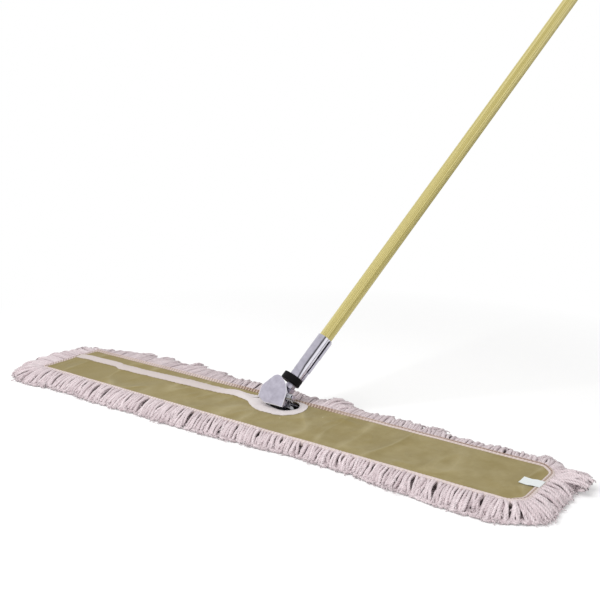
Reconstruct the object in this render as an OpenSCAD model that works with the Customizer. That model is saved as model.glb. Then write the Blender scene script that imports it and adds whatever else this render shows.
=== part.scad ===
// Dust mop: a canvas pocket with a cotton yarn fringe, drawn over a wire frame, and a handle on a spring
// clip. The origin is on the floor under the middle of the pocket. +X runs along the pocket to the label
// end, +Y to the side that the handle leans to, and +Z is up.

/* [Mop head] */
// Length of the canvas pocket
pocket_len = 905; // [700:5:1200]
// Width of the canvas pocket
pocket_w = 127; // [120:1:180]
// Length cut off each corner of the label end along both edges
corner_cut = 18; // [12:1:28]
// Length cut off each corner of the slit's end along both edges
left_corner_cut = 6; // [6:1:28]
// Height of the yarn sole
pad_h = 11; // [8:0.5:16]
// Thickness of the lower canvas
base_t = 1.2; // [0.8:0.1:2]
// Thickness of the upper canvas
cover_t = 1.5; // [0.8:0.1:2.2]
// Width of the binding on top of the pocket
binding_w = 7; // [5:0.5:9]
// Thickness of the binding
binding_t = 1; // [0.6:0.1:1.5]
// Length of the label at the right end
label_len = 27; // [15:1:40]
// Width of the label
label_w = 20; // [10:1:35]
// Thickness of the label
label_t = 0.6; // [0.3:0.1:1]

/* [Fringe] */
// Spread of the fringe on the near side
front_spread = 36; // [20:1:60]
// Spread of the fringe on the far side
rear_spread = 66; // [40:1:90]
// Spread of the fringe at the left end
left_spread = 64; // [20:1:80]
// Spread of the fringe at the right end
right_spread = 38; // [20:1:70]
// Height of the yarn ends on the floor
fringe_tip_h = 5; // [3:0.5:8]
// Depth of the waves along the fringe's edge
fringe_wave = 4; // [0:0.5:8]
// Number of waves along a long side
long_waves = 9; // [3:1:15]
// Number of waves along an end
end_waves = 2; // [1:1:4]

/* [Opening] */
// Length of the opening that the clip passes through
opening_len = 74; // [72:1:84]
// Width of the opening
opening_w = 42; // [34:1:44]
// How far the opening's middle lies behind the bar
opening_back = 5; // [4:0.5:8]
// How far the opening's middle lies to the left of the clip's middle
opening_left = 5.5; // [0:0.5:6]
// Width of the tape on each edge of the slit
tape_w = 12; // [8:0.5:16]
// Width of the tape round the opening
ring_tape_w = 12; // [8:0.5:20]
// Thickness of the tape
tape_t = 1; // [0.5:0.1:1.5]
// Gap between the slit's two edges
slit_gap = 2; // [1:0.5:6]
// How much nearer the front the slit ends than it starts
slit_slant = 19; // [0:1:30]

/* [Wire frame] */
// Diameter of the frame's wire
wire_d = 6; // [4:0.5:7]
// Room between the wire and the pocket's end
frame_end_room = 4.5; // [3:0.5:20]
// Room between the wire and the pocket's far side
frame_side_room = 5.5; // [4:0.5:10]
// Room between the wire's bend and the clipped corner
corner_room = 2.2; // [2:0.1:6]
// Distance between the two cross wires
bridge_span = 50; // [46:1:52]
// Height of the bar above the frame
bar_lift = 8.2; // [7:0.1:12]
// Bend radius at the bar's ends
bar_bend = 4.5; // [3.5:0.1:5]

/* [Clip] */
// Clip's middle, measured along the pocket from its centre
clip_x = 18; // [0:1:30]
// Bar's distance from the pocket's far side
bar_room = 36.5; // [33.5:0.5:48]
// Lean of the handle away from the near side
lean_back = 42; // [30:1:55]
// Lean of the handle to the right
lean_side = 14.2; // [0:0.1:25]
// Width of the clip's body
clip_w = 24; // [22:0.5:28]
// Thickness of the clip's plates
plate_t = 2; // [1.5:0.1:2.5]
// Height of the lean pin above the bar
pivot_h = 16; // [15.5:0.1:18]
// Diameter of the lean pin
pivot_pin_d = 6; // [4:0.5:7]
// Diameter of the jaw pin
jaw_pin_d = 5; // [4:0.25:5.5]
// Distance of the jaw pin in front of the bar
jaw_pin_fore = 12; // [11.9:0.1:13]
// Height of the jaw pin above the bar
jaw_pin_h = 12; // [11:0.25:14]
// Width of the domed cheek
cheek_w = 50; // [40:1:56]
// Height of the domed cheek
cheek_h = 47; // [42:1:50]
// Thickness of the domed cheek
cheek_t = 2; // [1.5:0.1:2.5]
// Radius of the cheek's rounded top
cheek_top_r = 12; // [8:0.5:16]
// Angle at which the cheek stands off from the neck
cheek_splay = 11; // [8:0.5:14]
// Distance of the cheek's foot in front of the bar
cheek_fore = 15.3; // [14.7:0.1:16.7]

/* [Spring] */
// Wire diameter of the jaw's spring
spring_wire = 1.8; // [1:0.1:2]
// Number of curls
spring_turns = 4; // [3:1:5]
// Gap between one curl and the next
spring_gap = 0.5; // [0.45:0.05:0.7]
// Play between the spring and the jaw pin
spring_play = 1.1; // [0.3:0.1:1.2]
// Length of the spring's two legs
spring_leg = 6; // [3:0.5:8]

/* [Neck and collar] */
// Thickness of the neck's tongue
tongue_t = 9.6; // [8:0.1:10]
// Diameter of the neck's stud
stud_d = 16; // [13:0.5:18]
// Diameter of the spigot that the handle turns on
spigot_d = 12; // [8:0.5:14]
// Distance of the collar from the lean pin
collar_start = 22.5; // [21:0.5:30]
// Diameter of the collar
collar_d = 33; // [28:0.5:34]
// Length of the collar
collar_len = 12; // [10:0.5:20]
// How far the collar stands off to the left of the stud
collar_left = 4.5; // [0:0.5:5]
// How far the collar stands off towards the cheek
collar_fore = 1.5; // [0:0.5:2]

/* [Handle] */
// Diameter of the tube
tube_d = 22; // [20:0.5:26]
// Wall of the tube
tube_wall = 1.2; // [1:0.1:2]
// Length of the tube
tube_len = 1330; // [900:10:1500]
// Number of flutes round the tube
flutes = 24; // [12:1:30]
// Depth of the flutes
flute_depth = 0.5; // [0.2:0.05:0.6]
// Length of the ferrule
ferrule_len = 78; // [66:1:100]
// Wall of the ferrule
ferrule_t = 0.8; // [0.6:0.1:1.2]
// Wall of the liner inside the ferrule
liner_t = 0.6; // [0.4:0.1:1]
// Width of the ferrule's open seam
seam_w = 10.5; // [5:0.5:11]
// Turn of the seam round the handle
seam_turn = -27; // [-180:1:180]
// Height of the raised strip beside the seam
strip_raise = 1.6; // [0.8:0.1:2.5]
// Diameter of the end cap
cap_d = 26; // [25:0.5:32]
// Length of the end cap
cap_len = 42; // [36:1:60]

/* [Hidden] */
$fn = 64;

// Clearances: running fits, pieces laid together, pieces that pass each other, and the overrun of cuts
run_gap = 0.05;
lay_gap = 0.1;
free_gap = 0.3;
over = 1;

// Heights of the layers of the head
wire_r = wire_d / 2;
base_top = pad_h + base_t;
wire_z = base_top + lay_gap + wire_r;
cover_z = wire_z + wire_r + 2 * lay_gap;
cover_top = cover_z + cover_t;
bar_z = wire_z + bar_lift;

// Outline of the pocket and of the frame inside it
half_len = pocket_len / 2;
half_w = pocket_w / 2;
bar_y = half_w - bar_room;
frame_half_len = half_len - clip_x - frame_end_room - wire_r;
frame_half_w = bar_room - frame_side_room - wire_r;
corner_inset_share = 2 - sqrt(2);
corner_reach = max(corner_cut, left_corner_cut) - frame_end_room - frame_side_room + corner_room * sqrt(2);
frame_bend = max(wire_d, ceil(corner_reach / corner_inset_share - wire_r));

// Opening, slit and label
opening_x = clip_x - opening_left;
opening_y = bar_y + opening_back;
opening_run = (opening_len - opening_w) / 2;
slit_end_y = opening_y - slit_slant;

// Fringe: its root stands against the pocket's edge
fringe_root_h = cover_z;
shoulder_share = 0.45;
shoulder_h_share = 0.72;
corner_spread_share = 0.58;
long_stations = 36;
end_stations = 8;

// Clip body
ear_r = 11;
tongue_r = 9;
floor_gap = 0.4;
floor_t = 3;
floor_low = wire_r + floor_gap;
floor_top = floor_low + floor_t;
saddle_back = 8;
saddle_drop = 4;
jaw_split = 0.35;
channel_w = tongue_t + 2 * free_gap;
channel_out = channel_w / 2 + plate_t;
lug_r = 5;
lug_t = 2.5;
pivot_head_d = 9;
pivot_head_t = 1.8;

// Front jaw
flange_t = 2;
flange_gap = 1;
flange_x = clip_w / 2 + flange_gap + flange_t / 2;
cheek_edge = 3.5;
cheek_x = flange_x + flange_t / 2 + cheek_edge - cheek_w / 2;
cheek_low = 7.2;
cheek_shoulder_share = 0.53;
cheek_shoulder = cheek_h * cheek_shoulder_share;
cheek_cut_w = 15;
cheek_cut_h = 7;
flange_high = 20;
flange_low = 1.5;
grip_fore = wire_r + free_gap;
finger_fore = 8.5;
finger_drop = 4.2;
finger_rise = 1;

// Jaw pin and spring
pin_head_t = 1.6;
pin_head_d = 8;
coil_r = jaw_pin_d / 2 + spring_play + spring_wire / 2;
coil_pitch = spring_wire + spring_gap;
coil_x = flange_x + flange_t / 2 + 2 * free_gap + spring_wire / 2;
coil_len = coil_pitch * spring_turns;
pin_right = coil_x + coil_len + spring_wire / 2 + 2 * free_gap;
pin_left = flange_x + flange_t / 2 + free_gap;
curl_rings = 8;
curl_sides = 6;

// Stations along the handle, counted from the lean pin
stud_start = 14;
collar_end = collar_start + collar_len;
collar_chamfer = 0.8;
ferrule_start = collar_end + 2 * free_gap;
ferrule_end = ferrule_start + ferrule_len;
bush_len = 15;
bush_end = ferrule_start + bush_len;
ring_t = 1.4;
ring_d = 16;
ring_groove = 1;
ring_start = bush_end + free_gap;
spigot_tip = 3;
spigot_end = ring_start + ring_t + spigot_tip;
spigot_gap = 1;
tube_start = spigot_end + spigot_gap;
tube_end = tube_start + tube_len;

// Ferrule, liner, rivet and cap
tube_r = tube_d / 2;
liner_in = tube_r + run_gap;
liner_out = liner_in + liner_t;
ferrule_in = liner_out + run_gap;
ferrule_out = ferrule_in + ferrule_t;
seam_neck_share = 0.6;
seam_neck_len = 22;
strip_angle = 36;
strip_low_raise_share = 0.65;
strip_start_share = 0.2;
strip_step_share = 0.55;
strip_end_share = 0.97;
rivet_share = 0.8;
rivet_d = 4;
rivet_head_d = 7;
rivet_head_t = 1.2;
rivet_tail = 1.5;
flute_r = 0.9;
cap_cover = 30;
cap_round = 6;

function mix2(a, b, t) = a * (1 - t) + b * t;
function cheek_n(h) = -cheek_fore - (h + cheek_low) * tan(cheek_splay);

// Pieces on the bar: local Y points away from the cheek, local Z up towards the handle
module on_bar() {
    translate([clip_x, bar_y, bar_z]) rotate([-lean_back, 0, 0]) children();
}

// Pieces on the neck and the handle: local Z runs up the handle from the lean pin
module on_neck() {
    on_bar() translate([0, 0, pivot_h]) rotate([0, lean_side, 0]) children();
}

// Sweeps an outline, drawn in Y and Z, along X
module along_x(len) {
    rotate([90, 0, 90]) linear_extrude(len, center = true) children();
}

// Sweeps an outline, drawn in X and Z, along Y
module along_y(len) {
    rotate([90, 0, 0]) linear_extrude(len, center = true) children();
}

module rod_x(len, d) {
    rotate([0, 90, 0]) cylinder(h = len, d = d, center = true);
}

module rod_y(len, d) {
    rotate([90, 0, 0]) cylinder(h = len, d = d, center = true);
}

module pocket_outline(inset) {
    x = half_len - inset;
    y = half_w - inset;
    right = corner_cut - inset * corner_inset_share;
    left = left_corner_cut - inset * corner_inset_share;
    polygon([
        [-x + left, -y], [x - right, -y], [x, -y + right], [x, y - right],
        [x - right, y], [-x + left, y], [-x, y - left], [-x, -y + left]
    ]);
}

module opening_outline(grow) {
    translate([opening_x, opening_y]) {
        for (side = [-1, 1]) translate([side * opening_run, 0]) circle(d = opening_w + 2 * grow);
        square([2 * opening_run, opening_w + 2 * grow], center = true);
    }
}

// Band along the slit, between two distances from its middle line
module slit_band(low, high) {
    polygon([
        [-half_len - over, slit_end_y + low], [opening_x, opening_y + low],
        [opening_x, opening_y + high], [-half_len - over, slit_end_y + high]
    ]);
}

module frame_bar_cutters(grow) {
    for (side = [-1, 1]) {
        translate([clip_x, bar_y + side * frame_half_w, wire_z])
            rod_x(2 * frame_half_len, wire_d + 2 * grow);
    }
}

module cross_wire_rods(grow) {
    for (side = [-1, 1]) {
        translate([clip_x + side * bridge_span / 2, bar_y, wire_z])
            rod_y(2 * frame_half_w, wire_d + 2 * grow);
    }
}

// Each quarter of the loop is one side's wire and the bend after it
module frame_loop() {
    color("silver") translate([clip_x, bar_y, wire_z]) for (turn = [0 : 3]) {
        half_run = (turn % 2 == 0) ? frame_half_w : frame_half_len;
        half_out = (turn % 2 == 0) ? frame_half_len : frame_half_w;
        rotate([0, 0, turn * 90]) {
            translate([half_out, 0, 0]) rod_y(2 * (half_run - frame_bend), wire_d);
            translate([half_out - frame_bend, half_run - frame_bend, 0])
                rotate_extrude(angle = 90) translate([frame_bend, 0]) circle(d = wire_d);
        }
    }
}

module cross_wires() {
    color("silver") difference() {
        cross_wire_rods(0);
        frame_bar_cutters(run_gap);
    }
}

module centre_bar() {
    run = bridge_span / 2 - bar_bend;
    leg = bar_lift - bar_bend;
    color("silver") difference() {
        translate([clip_x, bar_y, bar_z]) {
            rod_x(2 * run, wire_d);
            for (side = [0, 1]) mirror([side, 0, 0]) {
                translate([run, 0, -bar_bend]) rotate([90, 0, 0])
                    rotate_extrude(angle = 90) translate([bar_bend, 0]) circle(d = wire_d);
                translate([run + bar_bend, 0, -bar_bend - leg]) cylinder(h = leg, d = wire_d);
            }
        }
        cross_wire_rods(run_gap);
    }
}

module pocket_cover() {
    color("darkkhaki") translate([0, 0, cover_z]) linear_extrude(cover_t) difference() {
        pocket_outline(binding_t + lay_gap);
        opening_outline(0);
        slit_band(-slit_gap / 2, slit_gap / 2);
    }
}

module base_cloth() {
    color("tan") translate([0, 0, pad_h]) linear_extrude(base_t) pocket_outline(binding_t + lay_gap);
}

module yarn_pad() {
    color("thistle") linear_extrude(pad_h) pocket_outline(0);
}

module edge_binding() {
    color("wheat") {
        translate([0, 0, pad_h]) linear_extrude(cover_top - pad_h) difference() {
            pocket_outline(0);
            pocket_outline(binding_t);
        }
        translate([0, 0, cover_top]) linear_extrude(binding_t) difference() {
            pocket_outline(0);
            pocket_outline(binding_w);
        }
    }
}

module slit_tape() {
    color("ghostwhite") translate([0, 0, cover_top]) linear_extrude(tape_t) intersection() {
        pocket_outline(binding_w + lay_gap);
        difference() {
            for (side = [-1, 1]) slit_band(side * slit_gap / 2, side * (slit_gap / 2 + tape_w));
            opening_outline(ring_tape_w + lay_gap);
        }
    }
}

module opening_tape() {
    color("ghostwhite") translate([0, 0, cover_top]) linear_extrude(tape_t) intersection() {
        pocket_outline(binding_w + lay_gap);
        difference() {
            opening_outline(ring_tape_w);
            opening_outline(0);
            slit_band(-slit_gap / 2, slit_gap / 2);
        }
    }
}

module care_label() {
    color("white") translate([half_len - label_len, -label_w / 2, cover_top + binding_t])
        cube([label_len, label_w, label_t]);
}

// One side of the fringe. Each ring runs from the root to the tip, and the rings go round the pocket
// from the middle of one clipped corner to the middle of the next.
module fringe_side(turn, stations, waves) {
    flip = (turn % 2 == 0);
    run = flip ? half_len : half_w;
    out = flip ? half_w : half_len;
    spreads = [front_spread, right_spread, rear_spread, left_spread];
    spread = spreads[turn];
    before = (spreads[(turn + 3) % 4] + spread) * corner_spread_share;
    after = (spreads[(turn + 1) % 4] + spread) * corner_spread_share;
    slant = sqrt(1 / 2);
    cuts = [left_corner_cut, corner_cut, corner_cut, left_corner_cut];
    start_cut = cuts[turn];
    end_cut = cuts[(turn + 1) % 4];
    start_root = [-run + start_cut / 2, -out + start_cut / 2];
    end_root = [run - end_cut / 2, -out + end_cut / 2];
    first = [-run + start_cut, -out];
    last = [run - end_cut, -out];
    roots = concat(
        [start_root],
        [for (k = [0 : stations]) mix2(first, last, k / stations)],
        [end_root]
    );
    tips = concat(
        [start_root + before * slant * [-1, -1]],
        [for (k = [0 : stations])
            mix2(first, last, k / stations) - [0, spread + fringe_wave * sin(360 * waves * k / stations)]],
        [end_root + after * slant * [1, -1]]
    );
    rings = [for (i = [0 : len(roots) - 1]) [
        [roots[i].x, roots[i].y, 0],
        [tips[i].x, tips[i].y, 0],
        [tips[i].x, tips[i].y, fringe_tip_h],
        concat(mix2(roots[i], tips[i], shoulder_share), [fringe_root_h * shoulder_h_share]),
        [roots[i].x, roots[i].y, fringe_root_h]
    ]];
    sides = len(rings[0]);
    points = [for (ring = rings) each ring];
    ends = len(points) - sides;
    walls = [for (i = [0 : len(rings) - 2], j = [0 : sides - 1])
        let (a = i * sides + j, b = i * sides + (j + 1) % sides)
        each [[a, b, b + sides], [a, b + sides, a + sides]]];
    first_cap = [for (j = [1 : sides - 2]) [0, j + 1, j]];
    last_cap = [for (j = [1 : sides - 2]) [ends, ends + j, ends + j + 1]];
    rotate([0, 0, turn * 90]) polyhedron(points, concat(walls, first_cap, last_cap));
}

module fringe_front() {
    color("lavenderblush") fringe_side(0, long_stations, long_waves);
}

module fringe_right() {
    color("lavenderblush") fringe_side(1, end_stations, end_waves);
}

module fringe_rear() {
    color("lavenderblush") fringe_side(2, long_stations, long_waves);
}

module fringe_left() {
    color("lavenderblush") fringe_side(3, end_stations, end_waves);
}

// Folded body: a saddle over the bar, two ears for the lean pin and two lugs for the jaw pin
module clip_body() {
    color("lightgray") on_bar() difference() {
        union() {
            along_x(clip_w) polygon([
                [-channel_out, floor_low], [-jaw_split, floor_low], [-jaw_split, 0], [wire_r, 0],
                [wire_r, -saddle_drop], [saddle_back, -saddle_drop], [saddle_back, floor_top],
                [-channel_out, floor_top]
            ]);
            for (side = [-1, 1]) {
                translate([0, side * (channel_w + plate_t) / 2, 0]) along_y(plate_t) union() {
                    translate([0, pivot_h]) circle(r = ear_r);
                    translate([-ear_r, floor_low]) square([2 * ear_r, pivot_h - floor_low]);
                }
                translate([side * (clip_w - lug_t) / 2, 0, 0]) along_x(lug_t) union() {
                    translate([-jaw_pin_fore, jaw_pin_h]) circle(r = lug_r);
                    polygon([
                        [-jaw_pin_fore, jaw_pin_h + lug_r], [-channel_w / 2, floor_top],
                        [-channel_w / 2, floor_low], [-channel_out, floor_low],
                        [-jaw_pin_fore - lug_r, jaw_pin_h]
                    ]);
                }
            }
        }
        rod_x(clip_w + 2 * over, wire_d + 2 * run_gap);
        translate([0, -jaw_pin_fore, jaw_pin_h]) rod_x(clip_w + 2 * over, jaw_pin_d + 2 * run_gap);
        translate([0, 0, pivot_h]) rod_y(2 * (channel_out + over), pivot_pin_d + 2 * run_gap);
    }
}

module jaw_pin() {
    color("silver") on_bar() translate([0, -jaw_pin_fore, jaw_pin_h]) rotate([0, 90, 0]) {
        translate([0, 0, -pin_left]) cylinder(h = pin_left + pin_right, d = jaw_pin_d);
        translate([0, 0, -pin_left - pin_head_t]) cylinder(h = pin_head_t, d = pin_head_d);
        translate([0, 0, pin_right]) cylinder(h = pin_head_t, d = pin_head_d);
    }
}

module lean_pin() {
    color("silver") on_bar() translate([0, 0, pivot_h]) {
        rod_y(2 * channel_out, pivot_pin_d);
        for (side = [-1, 1])
            translate([0, side * (channel_out + pivot_head_t / 2), 0]) rod_y(pivot_head_t, pivot_head_d);
    }
}

// Middle line of the spring: a straight leg, the curls, and the other leg
function coil_point(a) = [coil_x + coil_pitch * a / 360, coil_r * cos(a), coil_r * sin(a)];
function coil_way(a) =
    let (way = [coil_pitch / (2 * PI), -coil_r * sin(a), coil_r * cos(a)]) way / norm(way);
coil_turn = spring_turns * 360 - 90;
coil_steps = spring_turns * curl_rings - curl_rings / 4;
coil_angles = [for (i = [0 : coil_steps]) coil_turn * i / coil_steps];
coil_stations = concat(
    [[coil_point(0) - spring_leg * coil_way(0), 0]],
    [for (a = coil_angles) [coil_point(a), a]],
    [[coil_point(coil_turn) + spring_leg * coil_way(coil_turn), coil_turn]]
);
coil_gap = min([for (i = [0 : coil_steps], j = [0 : coil_steps])
    if (j - i >= curl_rings / 2) norm(coil_point(coil_angles[j]) - coil_point(coil_angles[i]))]) - spring_wire;
echo(str("jaw_spring: least gap between curls ", coil_gap, " mm"));

module jaw_spring() {
    points = [for (station = coil_stations)
        let (
            out = [0, cos(station[1]), sin(station[1])],
            side = cross(coil_way(station[1]), out)
        )
        for (j = [0 : curl_sides - 1])
            station[0] + spring_wire / 2 * (cos(360 * j / curl_sides) * out + sin(360 * j / curl_sides) * side)];
    ends = len(points) - curl_sides;
    walls = [for (i = [0 : len(coil_stations) - 2], j = [0 : curl_sides - 1])
        let (a = i * curl_sides + j, b = i * curl_sides + (j + 1) % curl_sides)
        each [[a, b + curl_sides, b], [a, a + curl_sides, b + curl_sides]]];
    first_cap = [for (j = [1 : curl_sides - 2]) [0, j, j + 1]];
    last_cap = [for (j = [1 : curl_sides - 2]) [ends, ends + j + 1, ends + j]];
    color("gray") on_bar() translate([0, -jaw_pin_fore, jaw_pin_h])
        polyhedron(points, concat(walls, first_cap, last_cap));
}

module cheek_outline() {
    centre = [0, cheek_h - cheek_top_r];
    edge = [cheek_w / 2, cheek_shoulder];
    reach = norm(edge - centre);
    angle = atan2(edge.y - centre.y, edge.x - centre.x) + acos(cheek_top_r / reach);
    touch = centre + (cheek_top_r - run_gap) * [cos(angle), sin(angle)];
    translate(centre) circle(r = cheek_top_r);
    polygon([
        [-edge.x + cheek_cut_w, 0], [edge.x, 0], edge, touch,
        [-touch.x, touch.y], [-edge.x, edge.y], [-edge.x, cheek_cut_h]
    ]);
}

// Cheek with two flanges that turn on the jaw pin and end in fingers under the bar
module front_jaw() {
    color("lightgray") on_bar() difference() {
        union() {
            translate([cheek_x, -cheek_fore, -cheek_low]) rotate([cheek_splay, 0, 0])
                along_y(cheek_t) cheek_outline();
            for (side = [-1, 1]) translate([side * flange_x, 0, 0]) along_x(flange_t) union() {
                translate([-jaw_pin_fore, jaw_pin_h]) circle(r = lug_r);
                polygon([
                    [-jaw_pin_fore, jaw_pin_h + lug_r], [cheek_n(flange_high), flange_high],
                    [cheek_n(flange_low), flange_low], [-finger_fore, jaw_pin_h - lug_r]
                ]);
                polygon([
                    [-jaw_pin_fore - lug_r, jaw_pin_h], [-jaw_pin_fore + lug_r, jaw_pin_h],
                    [-grip_fore, wire_r + finger_rise], [-grip_fore, 0], [-2 * jaw_split, 0],
                    [-2 * jaw_split, -finger_drop], [-grip_fore, -finger_drop], [-finger_fore, -finger_rise]
                ]);
            }
        }
        rod_x(2 * flange_x + flange_t + 2 * over, wire_d + 2 * run_gap);
        translate([0, -jaw_pin_fore, jaw_pin_h])
            rod_x(2 * flange_x + flange_t + 2 * over, jaw_pin_d + 2 * run_gap);
    }
}

module neck_yoke() {
    color("silver") on_neck() difference() {
        union() {
            along_y(tongue_t) union() {
                circle(r = tongue_r);
                translate([-tongue_r, 0]) square([2 * tongue_r, stud_start + over]);
            }
            translate([0, 0, stud_start]) cylinder(h = collar_end - stud_start, d = stud_d);
            translate([0, 0, collar_end]) cylinder(h = spigot_end - collar_end, d = spigot_d);
        }
        rod_y(tongue_t + 2 * over, pivot_pin_d + 2 * run_gap);
        translate([0, 0, ring_start]) difference() {
            cylinder(h = ring_t + 2 * lay_gap, d = spigot_d + 2 * over);
            cylinder(h = ring_t + 2 * lay_gap, d = spigot_d - 2 * ring_groove);
        }
    }
}

module collar() {
    r = collar_d / 2;
    bore = stud_d / 2 + run_gap;
    color("black") on_neck() translate([0, 0, collar_start]) difference() {
        translate([-collar_left, -collar_fore, 0]) rotate_extrude() polygon([
            [0, 0], [r - collar_chamfer, 0], [r, collar_chamfer], [r, collar_len - collar_chamfer],
            [r - collar_chamfer, collar_len], [0, collar_len]
        ]);
        translate([0, 0, -over]) cylinder(h = collar_len + 2 * over, r = bore);
    }
}

module stud_ring() {
    color("dimgray") on_neck() translate([0, 0, ring_start + lay_gap]) difference() {
        cylinder(h = ring_t, d = ring_d);
        translate([0, 0, -over])
            cylinder(h = ring_t + 2 * over, d = spigot_d - 2 * ring_groove + 2 * run_gap);
    }
}

module swivel_bush() {
    color("ivory") on_neck() translate([0, 0, ferrule_start]) difference() {
        cylinder(h = bush_len, r = liner_in - run_gap);
        translate([0, 0, -over]) cylinder(h = bush_len + 2 * over, d = spigot_d + 2 * run_gap);
    }
}

// Bore for the rivet, on the side away from the seam
module rivet_axis(low, high, d) {
    translate([0, 0, ferrule_start + ferrule_len * rivet_share]) rotate([0, 90, seam_turn + 180])
        translate([0, 0, low]) cylinder(h = high - low, d = d);
}

// Rolled socket with an open seam that narrows at its foot, and a raised strip along one edge
module ferrule() {
    color("gainsboro") on_neck() difference() {
        union() {
            translate([0, 0, ferrule_start]) cylinder(h = ferrule_len, r = ferrule_out);
            strip_piece(strip_start_share, strip_step_share, strip_raise * strip_low_raise_share);
            strip_piece(strip_step_share, strip_end_share, strip_raise);
        }
        translate([0, 0, ferrule_start]) {
            translate([0, 0, -over]) cylinder(h = ferrule_len + 2 * over, r = ferrule_in);
            rotate([90, 0, seam_turn + 90]) linear_extrude(ferrule_out + strip_raise + over) polygon([
                [-seam_w / 2 * seam_neck_share, -over], [seam_w / 2 * seam_neck_share, -over],
                [seam_w / 2, seam_neck_len], [seam_w / 2, ferrule_len + over],
                [-seam_w / 2, ferrule_len + over], [-seam_w / 2, seam_neck_len]
            ]);
        }
        rivet_axis(0, ferrule_out + over, rivet_d + 2 * run_gap);
    }
}

// Strip from the middle of the seam round one side, which the seam's cut then trims
module strip_piece(from_share, to_share, raise) {
    edge = asin(seam_w / 2 / ferrule_out);
    translate([0, 0, ferrule_start + ferrule_len * from_share]) rotate([0, 0, seam_turn])
        rotate_extrude(angle = edge + strip_angle) translate([(ferrule_in + ferrule_out) / 2, 0])
            square([(ferrule_out - ferrule_in) / 2 + raise, ferrule_len * (to_share - from_share)]);
}

module ferrule_liner() {
    color("whitesmoke") on_neck() difference() {
        translate([0, 0, ferrule_start]) cylinder(h = ferrule_len - lay_gap, r = liner_out);
        translate([0, 0, ferrule_start - over]) cylinder(h = ferrule_len + 2 * over, r = liner_in);
        rivet_axis(0, ferrule_out + over, rivet_d + 2 * run_gap);
    }
}

module ferrule_rivet() {
    tail = tube_r - tube_wall - rivet_tail;
    color("silver") on_neck() {
        rivet_axis(tail, ferrule_out + lay_gap, rivet_d);
        rivet_axis(ferrule_out + lay_gap, ferrule_out + lay_gap + rivet_head_t, rivet_head_d);
    }
}

module handle_tube() {
    color("khaki") on_neck() difference() {
        translate([0, 0, tube_start]) linear_extrude(tube_len) difference() {
            circle(r = tube_r);
            circle(r = tube_r - tube_wall);
            for (i = [0 : flutes - 1]) rotate(360 * i / flutes)
                translate([tube_r - flute_depth + flute_r, 0]) circle(r = flute_r);
        }
        rivet_axis(0, ferrule_out + over, rivet_d + 2 * run_gap);
    }
}

module end_cap() {
    r = cap_d / 2;
    inner = tube_r + run_gap;
    floor_z = cap_cover + lay_gap;
    color("black") on_neck() translate([0, 0, tube_end - cap_cover]) rotate_extrude() {
        translate([inner, 0]) square([r - inner, floor_z]);
        translate([0, floor_z]) square([r, cap_len - cap_round - floor_z]);
        translate([0, cap_len - cap_round]) square([r - cap_round, cap_round]);
        translate([r - cap_round, cap_len - cap_round]) intersection() {
            circle(r = cap_round);
            square(cap_round);
        }
    }
}

frame_loop();
cross_wires();
centre_bar();
pocket_cover();
base_cloth();
yarn_pad();
edge_binding();
slit_tape();
opening_tape();
care_label();
fringe_front();
fringe_right();
fringe_rear();
fringe_left();
clip_body();
jaw_pin();
lean_pin();
jaw_spring();
front_jaw();
neck_yoke();
collar();
stud_ring();
swivel_bush();
ferrule();
ferrule_liner();
ferrule_rivet();
handle_tube();
end_cap();
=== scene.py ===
import math
import random

import bpy
from mathutils import Matrix, Vector, geometry, noise


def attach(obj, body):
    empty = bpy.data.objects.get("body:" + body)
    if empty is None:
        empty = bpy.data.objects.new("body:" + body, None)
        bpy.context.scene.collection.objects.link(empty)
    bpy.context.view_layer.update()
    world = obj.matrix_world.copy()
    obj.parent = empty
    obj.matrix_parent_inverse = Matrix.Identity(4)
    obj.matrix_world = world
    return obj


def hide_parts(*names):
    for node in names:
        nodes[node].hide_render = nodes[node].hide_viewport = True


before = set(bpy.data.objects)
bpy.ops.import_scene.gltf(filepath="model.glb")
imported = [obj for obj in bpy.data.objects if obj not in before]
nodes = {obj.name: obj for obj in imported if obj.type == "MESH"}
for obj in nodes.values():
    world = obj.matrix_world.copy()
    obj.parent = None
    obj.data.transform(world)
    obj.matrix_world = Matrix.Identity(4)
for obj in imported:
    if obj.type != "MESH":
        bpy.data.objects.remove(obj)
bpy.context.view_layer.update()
scene = bpy.context.scene
mm = 0.001
print("frame loaded,", len(nodes), "solids")


def linear(hexColour):  # sRGB hex to the linear values that shaders take
    parts = [int(hexColour[i:i + 2], 16) / 255 for i in (0, 2, 4)]
    return tuple(p / 12.92 if p <= 0.04045 else ((p + 0.055) / 1.055) ** 2.4 for p in parts) + (1.0,)


def live(source):  # a node's first live output; a socket stays as it is
    if isinstance(source, bpy.types.NodeSocket):
        return source
    return next(out for out in source.outputs if out.enabled)


def addNode(tree, kind, settings=None, links=None):  # text for a socket is a hex colour
    made = tree.nodes.new("ShaderNode" + kind)
    for name, value in (settings or {}).items():
        if isinstance(name, str) and name in made.bl_rna.properties:
            setattr(made, name, value)
        else:
            made.inputs[name].default_value = linear(value) if isinstance(value, str) else value
    for name, source in (links or {}).items():
        tree.links.new(live(source), made.inputs[name])
    return made


def feed(tree, node, **sources):  # links sockets of a node that is already there
    for socket, source in sources.items():
        tree.links.new(live(source), node.inputs[socket.replace("_", " ")])


def newMaterial(name, colour, roughness, metallic=0.0, **sockets):
    made = bpy.data.materials.new(name)
    made.use_nodes = True
    shader = made.node_tree.nodes["Principled BSDF"]
    shader.inputs["Base Color"].default_value = linear(colour)
    shader.inputs["Roughness"].default_value = roughness
    shader.inputs["Metallic"].default_value = metallic
    for socket, value in sockets.items():
        shader.inputs[socket.replace("_", " ")].default_value = value
    return made, made.node_tree, shader


def band(period):  # Wave Texture scale that gives one band per period, in metres
    return 2 * math.pi / 20 / period


def finishPiece(piece, body, material, slotName, *stoodFor):
    piece.data.materials.clear()
    piece.data.materials.append(material)
    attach(piece, body)
    if stoodFor:
        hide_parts(*stoodFor)
    return piece


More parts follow.
